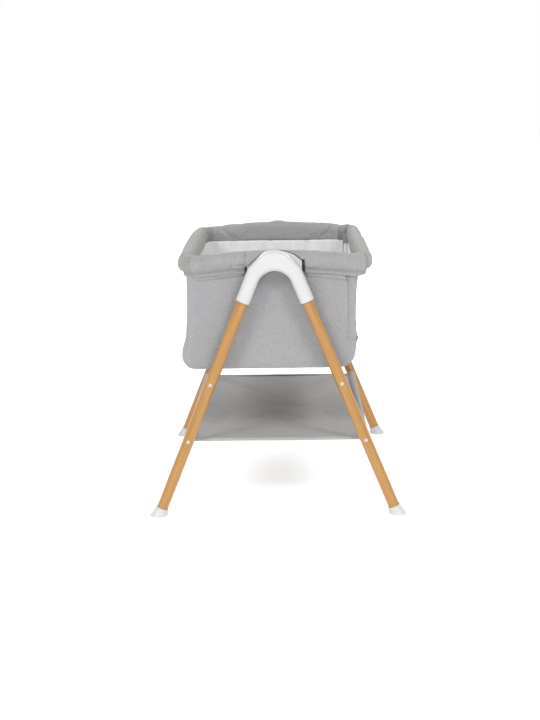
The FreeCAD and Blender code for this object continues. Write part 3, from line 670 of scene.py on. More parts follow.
def end_section(x):
    """The outline of an end roll's straight run: swollen over the posts and open at the saddle."""
    full = np.array(ROLL)
    inside = (full[:, 0] < -0.0135) & (full[:, 1] < 0.025)
    full[inside, 0] -= 0.0075 * exp(-((x - POST_X) / 0.013) ** 2)
    near_saddle = smoothstep(-0.0835, -0.0790, x) * (1 - smoothstep(0.0835, 0.0850, x))
    return full * (1 - near_saddle) + np.array(pulled_over_saddle(x)) * near_saddle


def side_swell(x, y):
    """How far out the side rolls bow, from the near end to the far one."""
    bow = [-0.005, -0.004, 0.002, 0.005, 0.002] if x < 0 else [-0.0035, -0.004, -0.003, -0.002, -0.001]
    return hermite([-0.42, -0.30, 0.0, 0.25, 0.42], bow, y)


def latch_bulge(x, way):
    """The rolls stand out a little over the latch inside each right corner."""
    if x < STRAIGHT_X:
        return 0.0
    angle = degrees(atan2(abs(way[1]), abs(way[0])))
    return 0.0036 * exp(-((angle - 56) / 15) ** 2)


def roll(name, parts, end):
    """One padded roll of the rim.  end is -1 or 1 for an end roll and 0 for a side roll."""
    centres = np.vstack([part[0] for part in parts])
    ways = np.vstack([part[1] for part in parts])
    step = lengths_along(centres)
    to_seam = np.minimum(step, step[-1] - step)
    sections = []
    for (x, y), way, seam in zip(centres, ways, to_seam):
        on_straight = end != 0 and abs(way[0]) < 1e-6
        outline = closed_curve(end_section(x) if on_straight else ROLL, SECTION_POINTS)
        outline = (outline - outline.mean(0)) * np.interp(seam, SEAM_AT, SEAM_SIZE) + outline.mean(0)
        out = outline[:, 0] + side_swell(x, y) * abs(way[0]) + latch_bulge(x, way)
        lift = crown(x) if end else SIDE_ROLL_LIFT
        sections.append(np.stack([x + way[0] * out, y + way[1] * out, RAIL_Z + lift + outline[:, 1]], 1))
    piece = loft_piece(name, sections, step)
    return piece, held_points(piece, np.append(np.repeat(to_seam, SECTION_POINTS), [0, 0]), end)


def held_points(piece, to_seam, end):
    """Which points of a roll its stitching holds: the flange, the seams and the saddle slot."""
    points = points_of(piece)
    low = 1 - smoothstep(RAIL_Z - 0.030, RAIL_Z - 0.012, points[:, 2])
    held = np.maximum(low * 0.9, 1 - smoothstep(0.003, 0.012, to_seam))
    if end:
        held = np.maximum(held, 1 - smoothstep(0.090, 0.112, np.abs(points[:, 0])))
    return held


def end_roll(name, end):
    """From the left side round the left corner and along to the right corner's seam."""
    y = end * RAIL_END_Y
    dense = 0.096
    out = (0, end)
    parts = [
        arc_stations(-STRAIGHT_X, end * STRAIGHT_Y, 180 - end * 0.1, 180 - end * 90),
        line_stations((-STRAIGHT_X, y), (-dense, y), out),
        line_stations((-dense, y), (dense, y), out, 0.0022),
        line_stations((dense, y), (STRAIGHT_X, y), out),
        arc_stations(STRAIGHT_X, end * STRAIGHT_Y, end * 90, end * (90 - RIGHT_SEAM)),
    ]
    return roll(name, [(centres, np.round(ways, 9)) for centres, ways in parts], end)


def left_roll(name):
    ys = np.linspace(STRAIGHT_Y - 0.0003, -STRAIGHT_Y + 0.0003, 148)
    return roll(name, [([(-RAIL_SIDE_X, y) for y in ys], [(-1.0, 0.0)] * len(ys))], 0)


def drop_roll(name):
    return roll(name, [
        arc_stations(STRAIGHT_X, -STRAIGHT_Y, -RIGHT_SEAM, 0),
        line_stations((RAIL_SIDE_X, -STRAIGHT_Y), (RAIL_SIDE_X, STRAIGHT_Y), (1, 0)),
        arc_stations(STRAIGHT_X, STRAIGHT_Y, 0, RIGHT_SEAM),
    ], 0)


def gather_creases(end):
    """Pleats where the cover is pulled tight at the saddle's left shoulder and tucked at its right."""
    folds = []
    for x, z, pleats in (
            (-0.081, RAIL_Z - 0.006, ((-0.060, -0.006, 0.0034, 0.0026), (-0.040, -0.013, 0.0030, 0.0022),
                                      (-0.034, 0.006, 0.0028, 0.0024), (-0.026, 0.016, 0.0024, 0.0022),
                                      (-0.080, -0.0005, 0.0018, 0.0035))),
            (0.086, RAIL_Z - 0.010, ((0.110, -0.008, 0.0036, 0.0026), (0.030, 0.008, 0.0018, 0.0024),
                                     (0.060, -0.011, 0.0028, 0.0022)))):
        y = end * (RAIL_END_Y + 0.020)
        for reach, rise, depth, width in pleats:
            folds.append(((x, y, z), (x + reach, y, z + rise), depth, width))
    return folds


def corner_puckers(side, end):
    """Small folds each side of a corner seam, on the inner face of the rim."""
    folds = []
    angle = radians(45 if side > 0 else 72)
    inner = CORNER - 0.0205
    x, y = side * (STRAIGHT_X + cos(angle) * inner), end * (STRAIGHT_Y + sin(angle) * inner)
    for k, height in enumerate((-0.012, -0.004, 0.006, 0.015, -0.019)):
        z = RAIL_Z + SIDE_ROLL_LIFT + height
        spread = 0.016 + 0.005 * (k % 3)
        stop = (side * (STRAIGHT_X - spread), end * (STRAIGHT_Y + inner), z + 0.004 * (k - 2))
        folds.append(((x, y, z), stop, 0.0016, 0.0022))
    return folds


def seam_line(end):
    """The stitched seam round an end roll at its left corner."""
    folds = []
    for radius in (CORNER - 0.021, CORNER + 0.020):
        x = -(STRAIGHT_X + cos(radians(LEFT_SEAM)) * radius)
        y = end * (STRAIGHT_Y + sin(radians(LEFT_SEAM)) * radius)
        folds.append(((x, y, RAIL_Z + 0.018), (x, y, RAIL_Z - 0.040), 0.0016, 0.0014))
    return folds


def warm_beyond_seam(piece, end):
    """The left corner of an end roll is cut from the side's cloth."""
    piece.data.materials.append(RIM_SIDE)
    centres = read(piece.data.polygons, "center")
    x = -(centres[:, 0] + STRAIGHT_X)
    y = end * centres[:, 1] - STRAIGHT_Y
    beyond = (x > 0) & (np.degrees(np.arctan2(y, x)) < LEFT_SEAM)
    piece.data.polygons.foreach_set("material_index", beyond.astype(np.int32))


def make_rim():
    ends = (-1, 1, 0, 0)
    rolls = [end_roll("rim_roll_near", -1), end_roll("rim_roll_far", 1), left_roll("rim_roll_left"),
             drop_roll("rim_roll_drop")]
    inflate(rolls, 4.0, 0.003)
    for number, ((piece, held), end) in enumerate(zip(rolls, ends)):
        subdivide(piece)
        ripple(piece, 0.11, 0.0016, 4 + number)
        ripple(piece, 0.030, 0.0007, 14 + number)
        folds = corner_puckers(1, end or -1) + corner_puckers(-1 if end else 1, end or 1)
        press_creases(piece, (gather_creases(end) + folds + seam_line(end)) if end else folds)
        body = "drop_side" if piece.name == "rim_roll_drop" else "stand"
        dress(piece, RIM_END if end else RIM_SIDE, "rim_fabric", body, piece.name.replace("roll", "pad"))
        if end:
            warm_beyond_seam(piece, end)


# ---------------------------------------------------------------- tub walls

def left_x(z):
    """Where the left wall's corner stands: straight above, slack and swollen near the floor of the tub."""
    return TUB_LEFT - hermite([0.420, 0.428, 0.440, 0.455, 0.487, 0.500, 0.550, 0.620, 0.700],
                              [0.0, 0.0085, 0.0165, 0.0190, 0.0135, 0.0095, 0.0040, 0.0010, 0.0005], z)


def right_x(z):
    """Where the right corner stands, drawn in round its post above the fold line."""
    heights = [0.420, 0.428, 0.440, 0.455, 0.480, 0.506, 0.530, 0.560, 0.620, 0.650, 0.672, 0.700]
    return TUB_RIGHT + hermite(heights, [-0.0330, -0.0220, -0.0110, -0.0060, -0.0020, -0.0020, -0.0048,
                                         -0.0060, -0.0052, -0.0028, 0.0006, 0.0068], z)


def end_outline(z, end):
    """The plan of an end wall at height z, from the left wall's seam round to the right one's."""
    left, right = left_x(z), right_x(z)
    soft = 0.026
    points = [(left, SEAM_Y), *arc(left + soft, TUB_END - soft, soft, 180, 90)]
    points += [(x, TUB_END) for x in np.linspace(left + soft, right - soft, 62)[1:-1]]
    points += [*arc(right - soft, TUB_END - soft, soft, 90, 0), (right, SEAM_Y)]
    return np.array([(x, end * y, z) for x, y in points])


def end_wall(end_name, end):
    """The grey end of the tub.  Above the fold line it stops at the zip, short of the right corner."""
    low = PANEL_BOTTOM
    heights = np.concatenate([[low, low + 0.0015, low + 0.004], np.linspace(low + 0.008, FOLD_Z - 0.001, 20),
                              [FOLD_Z], np.linspace(FOLD_Z + 0.004, UNDER_RIM_Z + 0.002, 44)])
    rows = np.stack([end_outline(z, end) for z in heights])
    rows[0, :, 1] -= end * 0.0035
    rows[1, :, 1] -= end * 0.0012
    limit = ZIP_X + 0.0024
    behind = (heights[:, None] > FOLD_Z + 0.0001) & (rows[:, :, 0] > limit)
    rows[behind] -= (0.0028, end * 0.0028, 0)

    def keep(i, j):
        return not (heights[i] > FOLD_Z + 0.0100 and rows[i, j:j + 2, 0].mean() > limit and j > 40)

    piece = grid_piece("end_wall_" + end_name, rows, keep)
    thicken(piece, CLOTH, -end)
    subdivide(piece)
    ripple(piece, 0.16, 0.0022, 30 + end)
    ripple(piece, 0.045, 0.0007, 33 + end, (1, 1, 0.6))
    y = end * TUB_END
    folds = [((TUB_LEFT - 0.010, y * 0.985, 0.4925), (TUB_LEFT + 0.026, y, 0.4885), 0.0030, 0.0030),
             ((TUB_LEFT - 0.010, y * 0.985, 0.4850), (TUB_LEFT + 0.018, y, 0.4830), 0.0014, 0.0026)]
    for x0, z0, x1, z1 in ((-0.19, 0.432, -0.15, 0.436), (-0.02, 0.430, 0.03, 0.433),
                           (0.09, 0.431, 0.13, 0.434)):
        folds.append(((x0, y, z0), (x1, y, z1), 0.0010, 0.004))
    press_creases(piece, folds)
    dress(piece, GREY, "grey_fabric", "stand", "end_panel_" + end_name)


def side_point(side, y, z, swell):
    """A point of a side wall, bowed outwards between its two corners."""
    corner = left_x(z) if side < 0 else right_x(z)
    bow = swell * (1 - abs(y / SEAM_Y) ** (2 if side < 0 else 6))
    return corner + side * bow, y, z


def side_sheet(name, side, heights, swell, keep=None, columns=81, margin=0.0004):
    """A sheet over a side wall, which bows out by a swell at each height."""
    ys = np.linspace(margin - SEAM_Y, SEAM_Y - margin, columns)
    rows = [[side_point(side, y, z, out) for y in ys] for z, out in zip(heights, swell)]
    return grid_piece(name, rows, keep)


def side_window(name, side, body, node, low, swell, border):
    """A side wall: a grey border and a white net window with a corded edge."""
    high = UNDER_RIM_Z + 0.001
    rows, columns = len(swell), 121
    heights = np.linspace(low, high, rows)
    low_rows, high_rows, ends = border
    length = 2 * SEAM_Y
    tall = high - low
    share_long = (columns - 1 - 2 * ends) / (columns - 1)
    share_tall = (rows - 1 - low_rows - high_rows) / (rows - 1)
    band = 2 * (length + tall)
    band_wide = (1 - share_long * share_tall) * length * tall / band

    def in_window(i, j):
        return low_rows <= i < rows - 1 - high_rows and ends <= j < columns - 1 - ends

    def on_border(i, j):
        return not in_window(i, j)

    frame_tube = "base_frame" if side < 0 else "drop_rail"
    for part, keep, thick, finish, flat, rest in (
            ("_border", on_border, CLOTH, (GREY, "grey_fabric", body), (band, band_wide), frame_tube),
            ("_net", in_window, 0.0008, (NET, "white_mesh", body, node),
             (length * share_long, tall * share_tall), name + "_border")):
        piece = side_sheet(name + part, side, heights, swell, keep, columns)
        thicken(piece, thick)
        ripple(piece, 0.13, 0.0016, 50 + side)
        dress(piece, *finish)
    line = []
    y_edge = SEAM_Y * share_long
    z_low, z_high = heights[low_rows], heights[rows - 1 - high_rows]
    corners = [(-y_edge, z_low), (y_edge, z_low), (y_edge, z_high), (-y_edge, z_high)]
    for (y0, z0), (y1, z1) in zip(corners, corners[1:] + corners[:1]):
        for t in np.linspace(0, 1, 40, endpoint=False):
            z = z0 + t * (z1 - z0)
            line.append(side_point(side, y0 + t * (y1 - y0), z, np.interp(z, heights, swell)))
    cord = loop_cord(name + "_cording", np.array(line) + (side * 0.0008, 0, 0), (side, 0, 0), 0.0034, 0.0016)
    dress(cord, PIPING, "grey_fabric", body)


def skirt(side_name, side, top, top_swell):
    """The low side of the tub, from the fold line round to its floor."""
    heights = np.concatenate([[PANEL_BOTTOM + 0.002], np.linspace(PANEL_BOTTOM + 0.005, top, 22)])
    swell = np.interp(heights, [heights[0], top], [0.002, top_swell])
    piece = side_sheet("skirt_cloth_" + side_name, side, heights, swell)
    thicken(piece)
    ripple(piece, 0.10, 0.0024, 60 + side)
    dress(piece, GREY, "grey_fabric", "stand", "skirt_" + side_name)


def fold_strip():
    """The loose cloth across the fold line, which on the real bassinet bends as the side goes down."""
    heights = np.linspace(FOLD_Z - 0.010, FOLD_Z + 0.010, 13)
    bulge = 0.0012 + 0.0016 * np.sin(np.linspace(0, pi, 13))
    swell = np.interp(heights, [FOLD_Z - 0.006, FOLD_Z + 0.006], [-0.0030, 0.0045])
    rows = []
    for z, out, bow in zip(heights, bulge, swell):
        rows.append([(side_point(1, y, z, bow)[0] + out, y, z) for y in np.linspace(-SEAM_Y, SEAM_Y, 81)])
    piece = grid_piece("fold_strip", rows)
    thicken(piece, 0.001)
    dress(piece, GREY, "grey_fabric")
    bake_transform(piece)


def corner_wing(end_name, end):
    """The folding side's grey cloth that wraps round the right corner to the zip."""
    rows = []
    for z in np.linspace(FOLD_Z + 0.0012, UNDER_RIM_Z + 0.001, 46):
        corner = end_outline(z, end)[-10:]
        run = np.linspace((ZIP_X + 0.0034, corner[0, 1], z), corner[0], 5)[:-1]
        rows.append(np.vstack([run, corner]))
    piece = grid_piece("corner_wing_" + end_name, rows)
    thicken(piece, CLOTH, -end)
    subdivide(piece)
    ripple(piece, 0.05, 0.0010, 70 + end)
    dress(piece, GREY, "grey_fabric", "drop_side")


def bottom_sheet():
    """The cloth under the tub."""
    z = PANEL_BOTTOM + 0.002
    xs = np.linspace(left_x(z) + 0.003, right_x(z) - 0.003, 41)
    ys = np.linspace(-TUB_END + 0.006, TUB_END - 0.006, 61)
    piece = grid_piece("bottom_sheet", [[(x, y, PANEL_BOTTOM + 0.0035) for x in xs] for y in ys])
    thicken(piece)
    ripple(piece, 0.12, 0.0030, 80)
    dress(piece, GREY, "grey_fabric", "stand", "bottom_cloth")


def lining_plan(end):
    """The lining's plan: along the end and a little way round each corner, inside the posts."""
    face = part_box("lining_far")[0].y
    soft = 0.030
    left, right = TUB_LEFT + 0.0085, TUB_RIGHT - 0.0098
    points = [(left, y) for y in np.linspace(0.300, face - soft, 12)]
    points += arc(left + soft, face - soft, soft, 170, 90)
    points += [(x, face) for x in np.linspace(left + soft + 0.002, right - soft - 0.002, 110)]
    points += arc(right - soft, face - soft, soft, 90, 10)
    points += [(right, y) for y in np.linspace(face - soft, 0.346, 5)]
    return np.array([(x, end * y) for x, y in points])


def lining_sheet(end_name, end):
    """The white lining hung inside an end of the tub, with soft upright gathers."""
    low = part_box("lining_" + end_name)[0].z
    high = UNDER_RIM_Z + 0.002
    plan = lining_plan(end)
    near_wall = (1 - smoothstep(0.300, 0.326, np.abs(plan[:, 1]))) * (plan[:, 0] <= 0)
    rows = []
    for z in np.linspace(low, high, 30):
        wall = side_point(-1, 0.300, z, 0.004)[0] + 0.0014
        x = plan[:, 0] + (wall - plan[:, 0]) * near_wall
        rows.append(np.stack([x, plan[:, 1], np.full(len(x), z)], 1))
    piece = grid_piece("lining_cloth_" + end_name, rows)
    thicken(piece, 0.0012)
    ripple(piece, 0.020, 0.0016, 90 + end, (1, 1, 0.12))
    ripple(piece, 0.09, 0.0018, 92 + end)
    dress(piece, LINING, "white_lining", "stand", "lining_" + end_name)


def arm_cover(name, end, low, high, half_width, step_out, cloth, slot_name):
    """A cloth cover over one of the folding side's stiffening bars, boxed out from the wall."""
    arm_y = 0.360
    rows = []
    for z in np.linspace(low, high, 30):
        back = step_out * smoothstep(RAIL_Z - 0.012, RAIL_Z - 0.003, z)
        face = TUB_RIGHT - 0.0084 + back
        row = []
        for s in np.linspace(-1, 1, 33):
            y = arm_y + s * half_width
            wall = side_point(1, y, z, 0.0105)[0] - 0.0008 + 0.5 * back
            row.append((face * (1 - abs(s) ** 6) + wall * abs(s) ** 6, end * y, z))
        rows.append(row)
    piece = grid_piece(name, rows)
    thicken(piece, 0.0010)
    ripple(piece, 0.03, 0.0006, 96 + end)
    dress(piece, cloth, slot_name, "drop_side")


def arm_covers(end_name, end):
    """White cover over each bar, and a tab of the rim's cloth where the bar steps out to the rail."""
    arm_cover("arm_sleeve_" + end_name, end, FOLD_Z + 0.010, UNDER_RIM_Z + 0.002, 0.0180, 0.0,
              LINING, "white_lining")
    arm_cover("arm_tab_" + end_name, end, UNDER_RIM_Z - 0.006, RAIL_Z - 0.002, 0.0210, 0.016,
              RIM_SIDE, "rim_fabric")


def hem_flap(name, end, x0, x1, drop0, drop1, seed, folds):
    """A tucked band of the cover below an end roll, from x0 to x1, with a wavy lower edge."""
    rows = []
    for k in np.linspace(0, 1, 12):
        row = []
        for x in np.linspace(x0, x1, max(20, int(abs(x1 - x0) / 0.003))):
            t = (x - x0) / (x1 - x0)
            wavy = 0.0012 * noise.noise(Vector((x * 40, seed, 0)))
            fall = drop0 + (drop1 - drop0) * t - wavy
            out = 0.0022 + 0.0022 * sin(k * pi) + 0.0012 * noise.noise(Vector((x * 30, k * 2, seed)))
            row.append((x, end * (TUB_END + out), RAIL_Z - 0.0240 + crown(x) - fall * k))
        rows.append(row)
    piece = grid_piece(name, rows)
    thicken(piece, 0.0018)
    subdivide(piece)
    press_creases(piece, folds)
    dress(piece, RIM_END, "rim_fabric", "stand")


def hems(end_name, end):
    y = end * (TUB_END + 0.004)
    fold = ((0.100, y, RAIL_Z - 0.031), (0.215, y, RAIL_Z - 0.044), 0.0026, 0.0022)
    hem_flap("hem_left_" + end_name, end, -0.222, -0.090, 0.013, 0.010, 1.5, [])
    hem_flap("hem_right_" + end_name, end, 0.090, 0.1985, 0.013, 0.017, 2.5, [fold])


# ---------------------------------------------------------------- bed, shelf and zips

def rounded_plan(half_x, half_y, radius, step):
    """Points round a rectangle with round corners, evenly spaced."""
    points = []
    for x, y, start in ((1, 1, 0), (-1, 1, 90), (-1, -1, 180), (1, -1, 270)):
        points += arc(x * (half_x - radius), y * (half_y - radius), radius, start, start + 90, 13)
    loop = np.array(points + points[:1])
    return spaced(loop, int(lengths_along(loop)[-1] / step))


def soft_block(name, centre, half_x, half_y, half_z, corner):
    """A closed cushion: a top and a bottom grid that meet round a rounded edge."""
    edge_radius = 0.014
    cell = 0.0078
    edge = edge_radius * (1 - np.cos(np.radians(np.arange(0, 90, 15))))

    def grid_lines(half):
        inner = np.linspace(-half + edge_radius, half - edge_radius, int((2 * half - 2 * edge_radius) / cell) + 1)
        return np.concatenate([-half + edge, inner, (half - edge)[::-1]])

    x, y = np.meshgrid(grid_lines(half_x), grid_lines(half_y))
    n, m = x.shape
    a = np.clip((np.abs(x) - half_x + corner) / corner, 0, 1)
    b = np.clip((np.abs(y) - half_y + corner) / corner, 0, 1)
    round_x = np.abs(x) - corner * a * (1 - np.sqrt(1 - b * b / 2))
    round_y = np.abs(y) - corner * b * (1 - np.sqrt(1 - a * a / 2))
    inward = np.minimum(half_x - np.abs(x), half_y - np.abs(y))
    t = np.clip(1 - inward / edge_radius, 0, 1)
    height = half_z * np.sqrt(np.maximum(1 - t * t, 0))
    top = np.stack([np.sign(x) * round_x, np.sign(y) * round_y, height], 2)
    points = np.vstack([top.reshape(-1, 3), (top * (1, 1, -1)).reshape(-1, 3)]) + np.array(centre)
    number = np.arange(n * m).reshape(n, m)
    under = np.where(inward < 1e-9, number, number + n * m)
    faces = []
    for i in range(n - 1):
        for j in range(m - 1):
            faces.append((number[i, j], number[i, j + 1], number[i + 1, j + 1], number[i + 1, j]))
            faces.append((under[i, j], under[i + 1, j], under[i + 1, j + 1], under[i, j + 1]))
    piece = new_piece(name, points, faces, points[:, :2] + points[:, 2:3] * 0.5)
    mend(piece, drop_loose_points)
    mend(piece, face_outwards)
    return piece


def mattress_pad():
    """A quilted pad: a soft block with crossed channels and a corded edge."""
    low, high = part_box("mattress")
    centre = (low + high) / 2
    half_x = (high.x - low.x) / 2 - 0.0035
    half_y = (high.y - low.y) / 2 - 0.0035
    half_z = (high.z - low.z) / 2 - 0.002
    corner = 0.040
    piece = soft_block("mattress_pad", centre, half_x, half_y, half_z, corner)
    inflate([(piece, np.zeros(len(piece.data.vertices)))], 2.5, 0.0022)
    subdivide(piece)
    points, normals = points_of(piece), normals_of(piece)
    pitch = 0.062
    a = (points[:, 0] - centre.x + points[:, 1]) / (pitch * sqrt(2))
    b = (points[:, 0] - centre.x - points[:, 1]) / (pitch * sqrt(2))
    valley = np.minimum(np.abs(a - np.round(a)), np.abs(b - np.round(b))) * pitch
    groove = 0.0034 * np.exp(-(valley / 0.0050) ** 2) * smoothstep(0.5, 0.95, np.abs(normals[:, 2]))
    set_points(piece, points - normals * groove[:, None])
    dress(piece, QUILT, "mattress_cover", "mattress", "mattress")
    plan = rounded_plan(half_x + 0.0004, half_y + 0.0004, corner, 0.010)
    line = np.column_stack([plan, np.full(len(plan), half_z * 0.55)]) + np.array(centre)
    cord = loop_cord("mattress_cording", line, (0, 0, 1), 0.0046, 0.0046)
    dress(cord, QUILT, "mattress_cover", "mattress")


def shelf_sheet():
    """The canvas shelf: stretched between its two tubes, sagging, with long folds from its corners."""
    low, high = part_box("shelf")
    tube = middle("lower_rail_right")
    top = tube.z + 0.0005
    rows = []
    for y in np.linspace(low.y, high.y, 201):
        sag = 0.0075 * (1 - 0.35 * (y / high.y) ** 2)
        rows.append([(x, y, top - sag * (1 - (x / tube.x) ** 2)) for x in np.linspace(-tube.x, tube.x, 141)])
    piece = grid_piece("shelf_cloth", rows)
    thicken(piece)
    folds = []
    for side in (-1, 1):
        for end in (-1, 1):
            corner = (side * (tube.x - 0.012), end * (high.y - 0.004))
            folds.append((corner, (side * 0.020, end * 0.115), 0.0050, 0.016))
            folds.append((corner, (side * 0.120, end * 0.05), 0.0020, 0.012))
    folds.append(((0.050, -0.02), (-0.060, 0.030), 0.0050, 0.030))
    points = points_of(piece)
    plan = points[:, :2].copy()
    slack = np.clip((tube.x - np.abs(plan[:, 0])) / 0.03, 0, 1)
    for start, end, depth, width in folds:
        run = np.array(end) - start
        t = np.clip((plan - start) @ run / (run @ run), 0, 1)
        away = np.linalg.norm(plan - start - t[:, None] * run, axis=1) / width
        points[:, 2] -= depth * slack * (1 - 0.6 * t) * np.exp(-away ** 2)
    set_points(piece, points)
    ripple(piece, 0.14, 0.0022, 101)
    dress(piece, CANVAS, "shelf_fabric", "stand", "shelf")
    for side_name, side in (("left", -1), ("right", 1)):
        sleeve(side_name, side, tube, low.y, high.y)
    for end_name, y in (("near", low.y), ("far", high.y)):
        rod_hem(end_name, y, tube.x - 0.014)


def cloth_tube(name, rings, uv):
    """Canvas sewn round a tube or a rod, through rings of points."""
    n, m = rings.shape[:2]
    piece = new_piece(name, rings.reshape(-1, 3), ring_faces(n, m), uv)
    thicken(piece, 0.0012)
    dress(piece, CANVAS, "shelf_fabric", "stand")


def sleeve(side_name, side, tube, y0, y1):
    """The sleeve of canvas round a lower tube."""
    radius = 0.0102
    count = 24
    ys = np.linspace(y0, y1, 121)
    rings = []
    for y in ys:
        wide = radius * (1 + 0.05 * noise.noise(Vector((y * 22, side * 4.0, 0))))
        rings.append([(side * tube.x + wide * cos(a), y, tube.z + wide * sin(a)) for a in turn(count)])
    uv = np.stack([np.tile(np.arange(count) * 0.0027, len(ys)), np.repeat(ys, count)], 1)
    cloth_tube("shelf_sleeve_" + side_name, np.array(rings), uv)


def rod_hem(end_name, y, reach):
    """The hem of the shelf round the stiff rod at one end."""
    radius = 0.0042
    count = 16
    xs = np.linspace(-reach, reach, 121)
    rod = middle("shelf_rod_" + end_name)
    rings = []
    for x in xs:
        wide = radius * (1 + 0.08 * noise.noise(Vector((x * 30, y * 9, 2.0))))
        rings.append([(x, rod.y + wide * cos(a), rod.z + wide * sin(a)) for a in turn(count)])
    uv = np.stack([np.repeat(xs, count), np.tile(np.arange(count) * 0.0016, len(xs))], 1)
    cloth_tube("shelf_hem_" + end_name, np.array(rings), uv)


def zip_teeth(end_name, end):
    """A coil zip: two rows of small teeth between two welts of the wall's cloth."""
    low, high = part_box("zip_" + end_name)
    pitch = 0.0026
    half_wide, half_tall = 0.0011, 0.00055
    points = []
    faces = []
    for k in range(int((high.z - low.z) / pitch)):
        for side in (-1, 1):
            z = low.z + pitch * (k + 0.5 + 0.25 * side)
            x = ZIP_X + side * 0.0009
            base = len(points)
            for depth, grow in ((0.0001, 1.0), (0.0008, 1.0), (0.0011, 0.6)):
                for a, b in ((-1, -1), (1, -1), (1, 1), (-1, 1)):
                    points.append((x + a * half_wide * grow, end * (TUB_END + depth), z + b * half_tall * grow))
            faces += ring_faces(3, 4, first=base)
            faces.append(tuple(range(base + 8, base + 12)))
            faces.append(tuple(range(base + 3, base - 1, -1)))
    piece = new_piece("zip_teeth_" + end_name, points, faces, [(p[0], p[2]) for p in points])
    mend(piece, face_outwards)
    dress(piece, ZIP_METAL, "zip_tape", "stand", "zip_" + end_name)
    for side_name, side, body in (("left", -1, "stand"), ("right", 1, "drop_side")):
        line = [(ZIP_X + side * 0.0023 + 0.0003 * noise.noise(Vector((z * 60, side, 0))),
                 end * (TUB_END - 0.0004), z) for z in np.linspace(FOLD_Z + 0.006, UNDER_RIM_Z, 60)]
        welt("zip_welt_" + end_name + "_" + side_name, line, end, body)


def welt(name, line, end, body):
    """A sewn fold of cloth that follows an upright line of points, with a rounded top."""
    shape = [(-0.5, 0), (-0.5, 0.45), (-0.34, 0.85), (0, 1), (0.34, 0.85), (0.5, 0.45), (0.5, 0), (0, -0.05)]
    wide, tall = 0.0038, 0.0017
    sections = [[(x + a * wide, y + end * b * tall, z) for a, b in shape] for x, y, z in line]
    dress(loft_piece(name, sections, lengths_along(line)), GREY, "grey_fabric", body)


def zip_puller(end_name, end):
    """A zip's slider: a rounded body and a long pull tab."""
    node = "zip_slider_" + end_name
    x = middle(node).x
    high_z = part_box(node)[1].z
    back = end * (TUB_END + 0.0015)
    rings = []
    for depth, grow in ((0.0, 1.00), (0.0014, 1.00), (0.0022, 0.92), (0.0026, 0.70)):
        ring = []
        for angle in turn(28):
            c, s = cos(angle), sin(angle)
            wide = 0.0035 * grow * (1 - 0.28 * max(0, -s))
            ring.append((x + wide * copysign(abs(c) ** 0.6, c), back + end * depth,
                         high_z - 0.0050 + 0.0050 * grow * copysign(abs(s) ** 0.7, s)))
        rings.append(ring)
    body = loft_piece("zip_slider_body_" + end_name, rings, np.arange(4) * 0.001)
    rings = []
    for t in np.linspace(0, 1, 15):
        half = 0.0011 + 0.0009 * smoothstep(0.15, 0.5, t) - 0.0008 * smoothstep(0.93, 1.0, t)
        rings.append([(x + half * cos(a), back + end * 0.0031 + 0.00045 * sin(a), high_z - 0.003 - 0.0135 * t)
                      for a in turn(12)])
    tab = loft_piece("zip_pull_tab_" + end_name, rings, np.arange(15) * 0.001)
    dress(body, ZIP_METAL, "zip_metal", node, node)
    dress(tab, ZIP_METAL, "zip_metal", node)


# ---------------------------------------------------------------- camera, light, floor

def make_camera():
    """The eye stands in front of the near end, a little right of its middle, looking down."""
    yaw, pitch, roll_angle = -0.0199, 0.2018, -0.0162
    ahead = Vector((sin(yaw) * cos(pitch), cos(yaw) * cos(pitch), -sin(pitch)))
    right = Vector((cos(yaw), -sin(yaw), 0))
    up = right.cross(ahead)
    turned_right = right * cos(roll_angle) + up * sin(roll_angle)
    turned_up = up * cos(roll_angle) - right * sin(roll_angle)
    camera = bpy.data.cameras.new("eye")
    camera.lens = 64.0
    camera.sensor_width = 36.0
    camera.clip_end = 200
    eye = bpy.data.objects.new("eye", camera)
    eye.matrix_world = Matrix((turned_right, turned_up, -ahead)).transposed().to_4x4()
    eye.location = (0.0537, -3.9624, 1.1702)
    bpy.context.scene.collection.objects.link(eye)
    bpy.context.scene.camera = eye


def sun(name, azimuth, height, strength, softness):
    """A soft far light; azimuth 0 shines from the near end and a positive one from the right."""
    a, e = radians(azimuth), radians(height)
    source = Vector((sin(a) * cos(e), -cos(a) * cos(e), sin(e)))
    lamp = bpy.data.lights.new(name, "SUN")
    lamp.energy = strength
    lamp.angle = radians(softness)
    holder = bpy.data.objects.new(name, lamp)
    holder.rotation_mode = "QUATERNION"
    holder.rotation_quaternion = source.to_track_quat("Z", "Y")
    bpy.context.scene.collection.objects.link(holder)


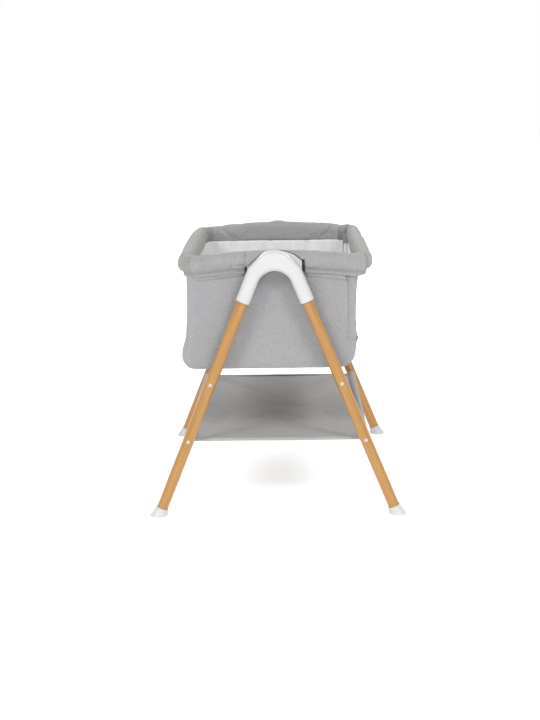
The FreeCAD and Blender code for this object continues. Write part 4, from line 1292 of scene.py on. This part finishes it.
def make_light():
    """A white room, dimmer as a light than as it looks, and four wide suns."""
    world = bpy.data.worlds.new("white_room")
    world.use_nodes = True
    tree = world.node_tree
    back = tree.nodes["Background"]
    back.inputs["Color"].default_value = (1, 1, 1, 1)
    seen = tree.nodes.new("ShaderNodeLightPath")
    level = tree.nodes.new("ShaderNodeMapRange")
    level.inputs["To Min"].default_value = 0.55
    level.inputs["To Max"].default_value = 1.0
    tree.links.new(seen.outputs["Is Camera Ray"], level.inputs["Value"])
    tree.links.new(level.outputs[0], back.inputs["Strength"])
    bpy.context.scene.world = world
    sun("left_softbox", -36, 36, 1.2, 20)
    sun("right_softbox", 34, 38, 1.2, 20)
    sun("back_left_softbox", -150, 24, 1.1, 30)
    sun("back_right_softbox", 145, 24, 1.1, 30)
    bpy.context.scene.view_settings.view_transform = "Standard"


def make_floor():
    """A pale floor that glows a little, so that it fades into the white room."""
    nodes = Nodes("studio_floor", roughness=0.6, emission_color=(1, 1, 1, 1), emission_strength=0.30)
    colour = nodes.tones(nodes.noise(nodes.object_place(), 3.0), (0.94, 0.94, 0.94), (0.95, 0.95, 0.95))
    size = 30.0
    corners = [(-size, -size, 0), (size, -size, 0), (size, size, 0), (-size, size, 0)]
    floor = new_piece("studio_floor", corners, [(0, 1, 2, 3)])
    floor.data.materials.append(nodes.finish(colour))


ENDS = (("near", -1), ("far", 1))
make_camera()
make_light()
make_floor()
finish_frame_nodes()
make_rim()
for end_name, end in ENDS:
    end_wall(end_name, end)
    corner_wing(end_name, end)
    lining_sheet(end_name, end)
    arm_covers(end_name, end)
    zip_teeth(end_name, end)
    zip_puller(end_name, end)
for end_name, end in ENDS:
    hems(end_name, end)
side_window("side_left", -1, "stand", "side_wall_left", FOLD_Z - 0.0055, [0.004] * 34, (4, 0, 5))
side_window("side_drop", 1, "drop_side", "drop_panel", FOLD_Z + 0.0065,
            np.interp(np.arange(34), [0, 10, 26, 33], [0.0050, 0.0105, 0.0120, 0.0065]), (4, 0, 2))
skirt("left", -1, FOLD_Z - 0.0058, 0.004)
skirt("right", 1, FOLD_Z - 0.006, -0.0035)
fold_strip()
bottom_sheet()
mattress_pad()
shelf_sheet()
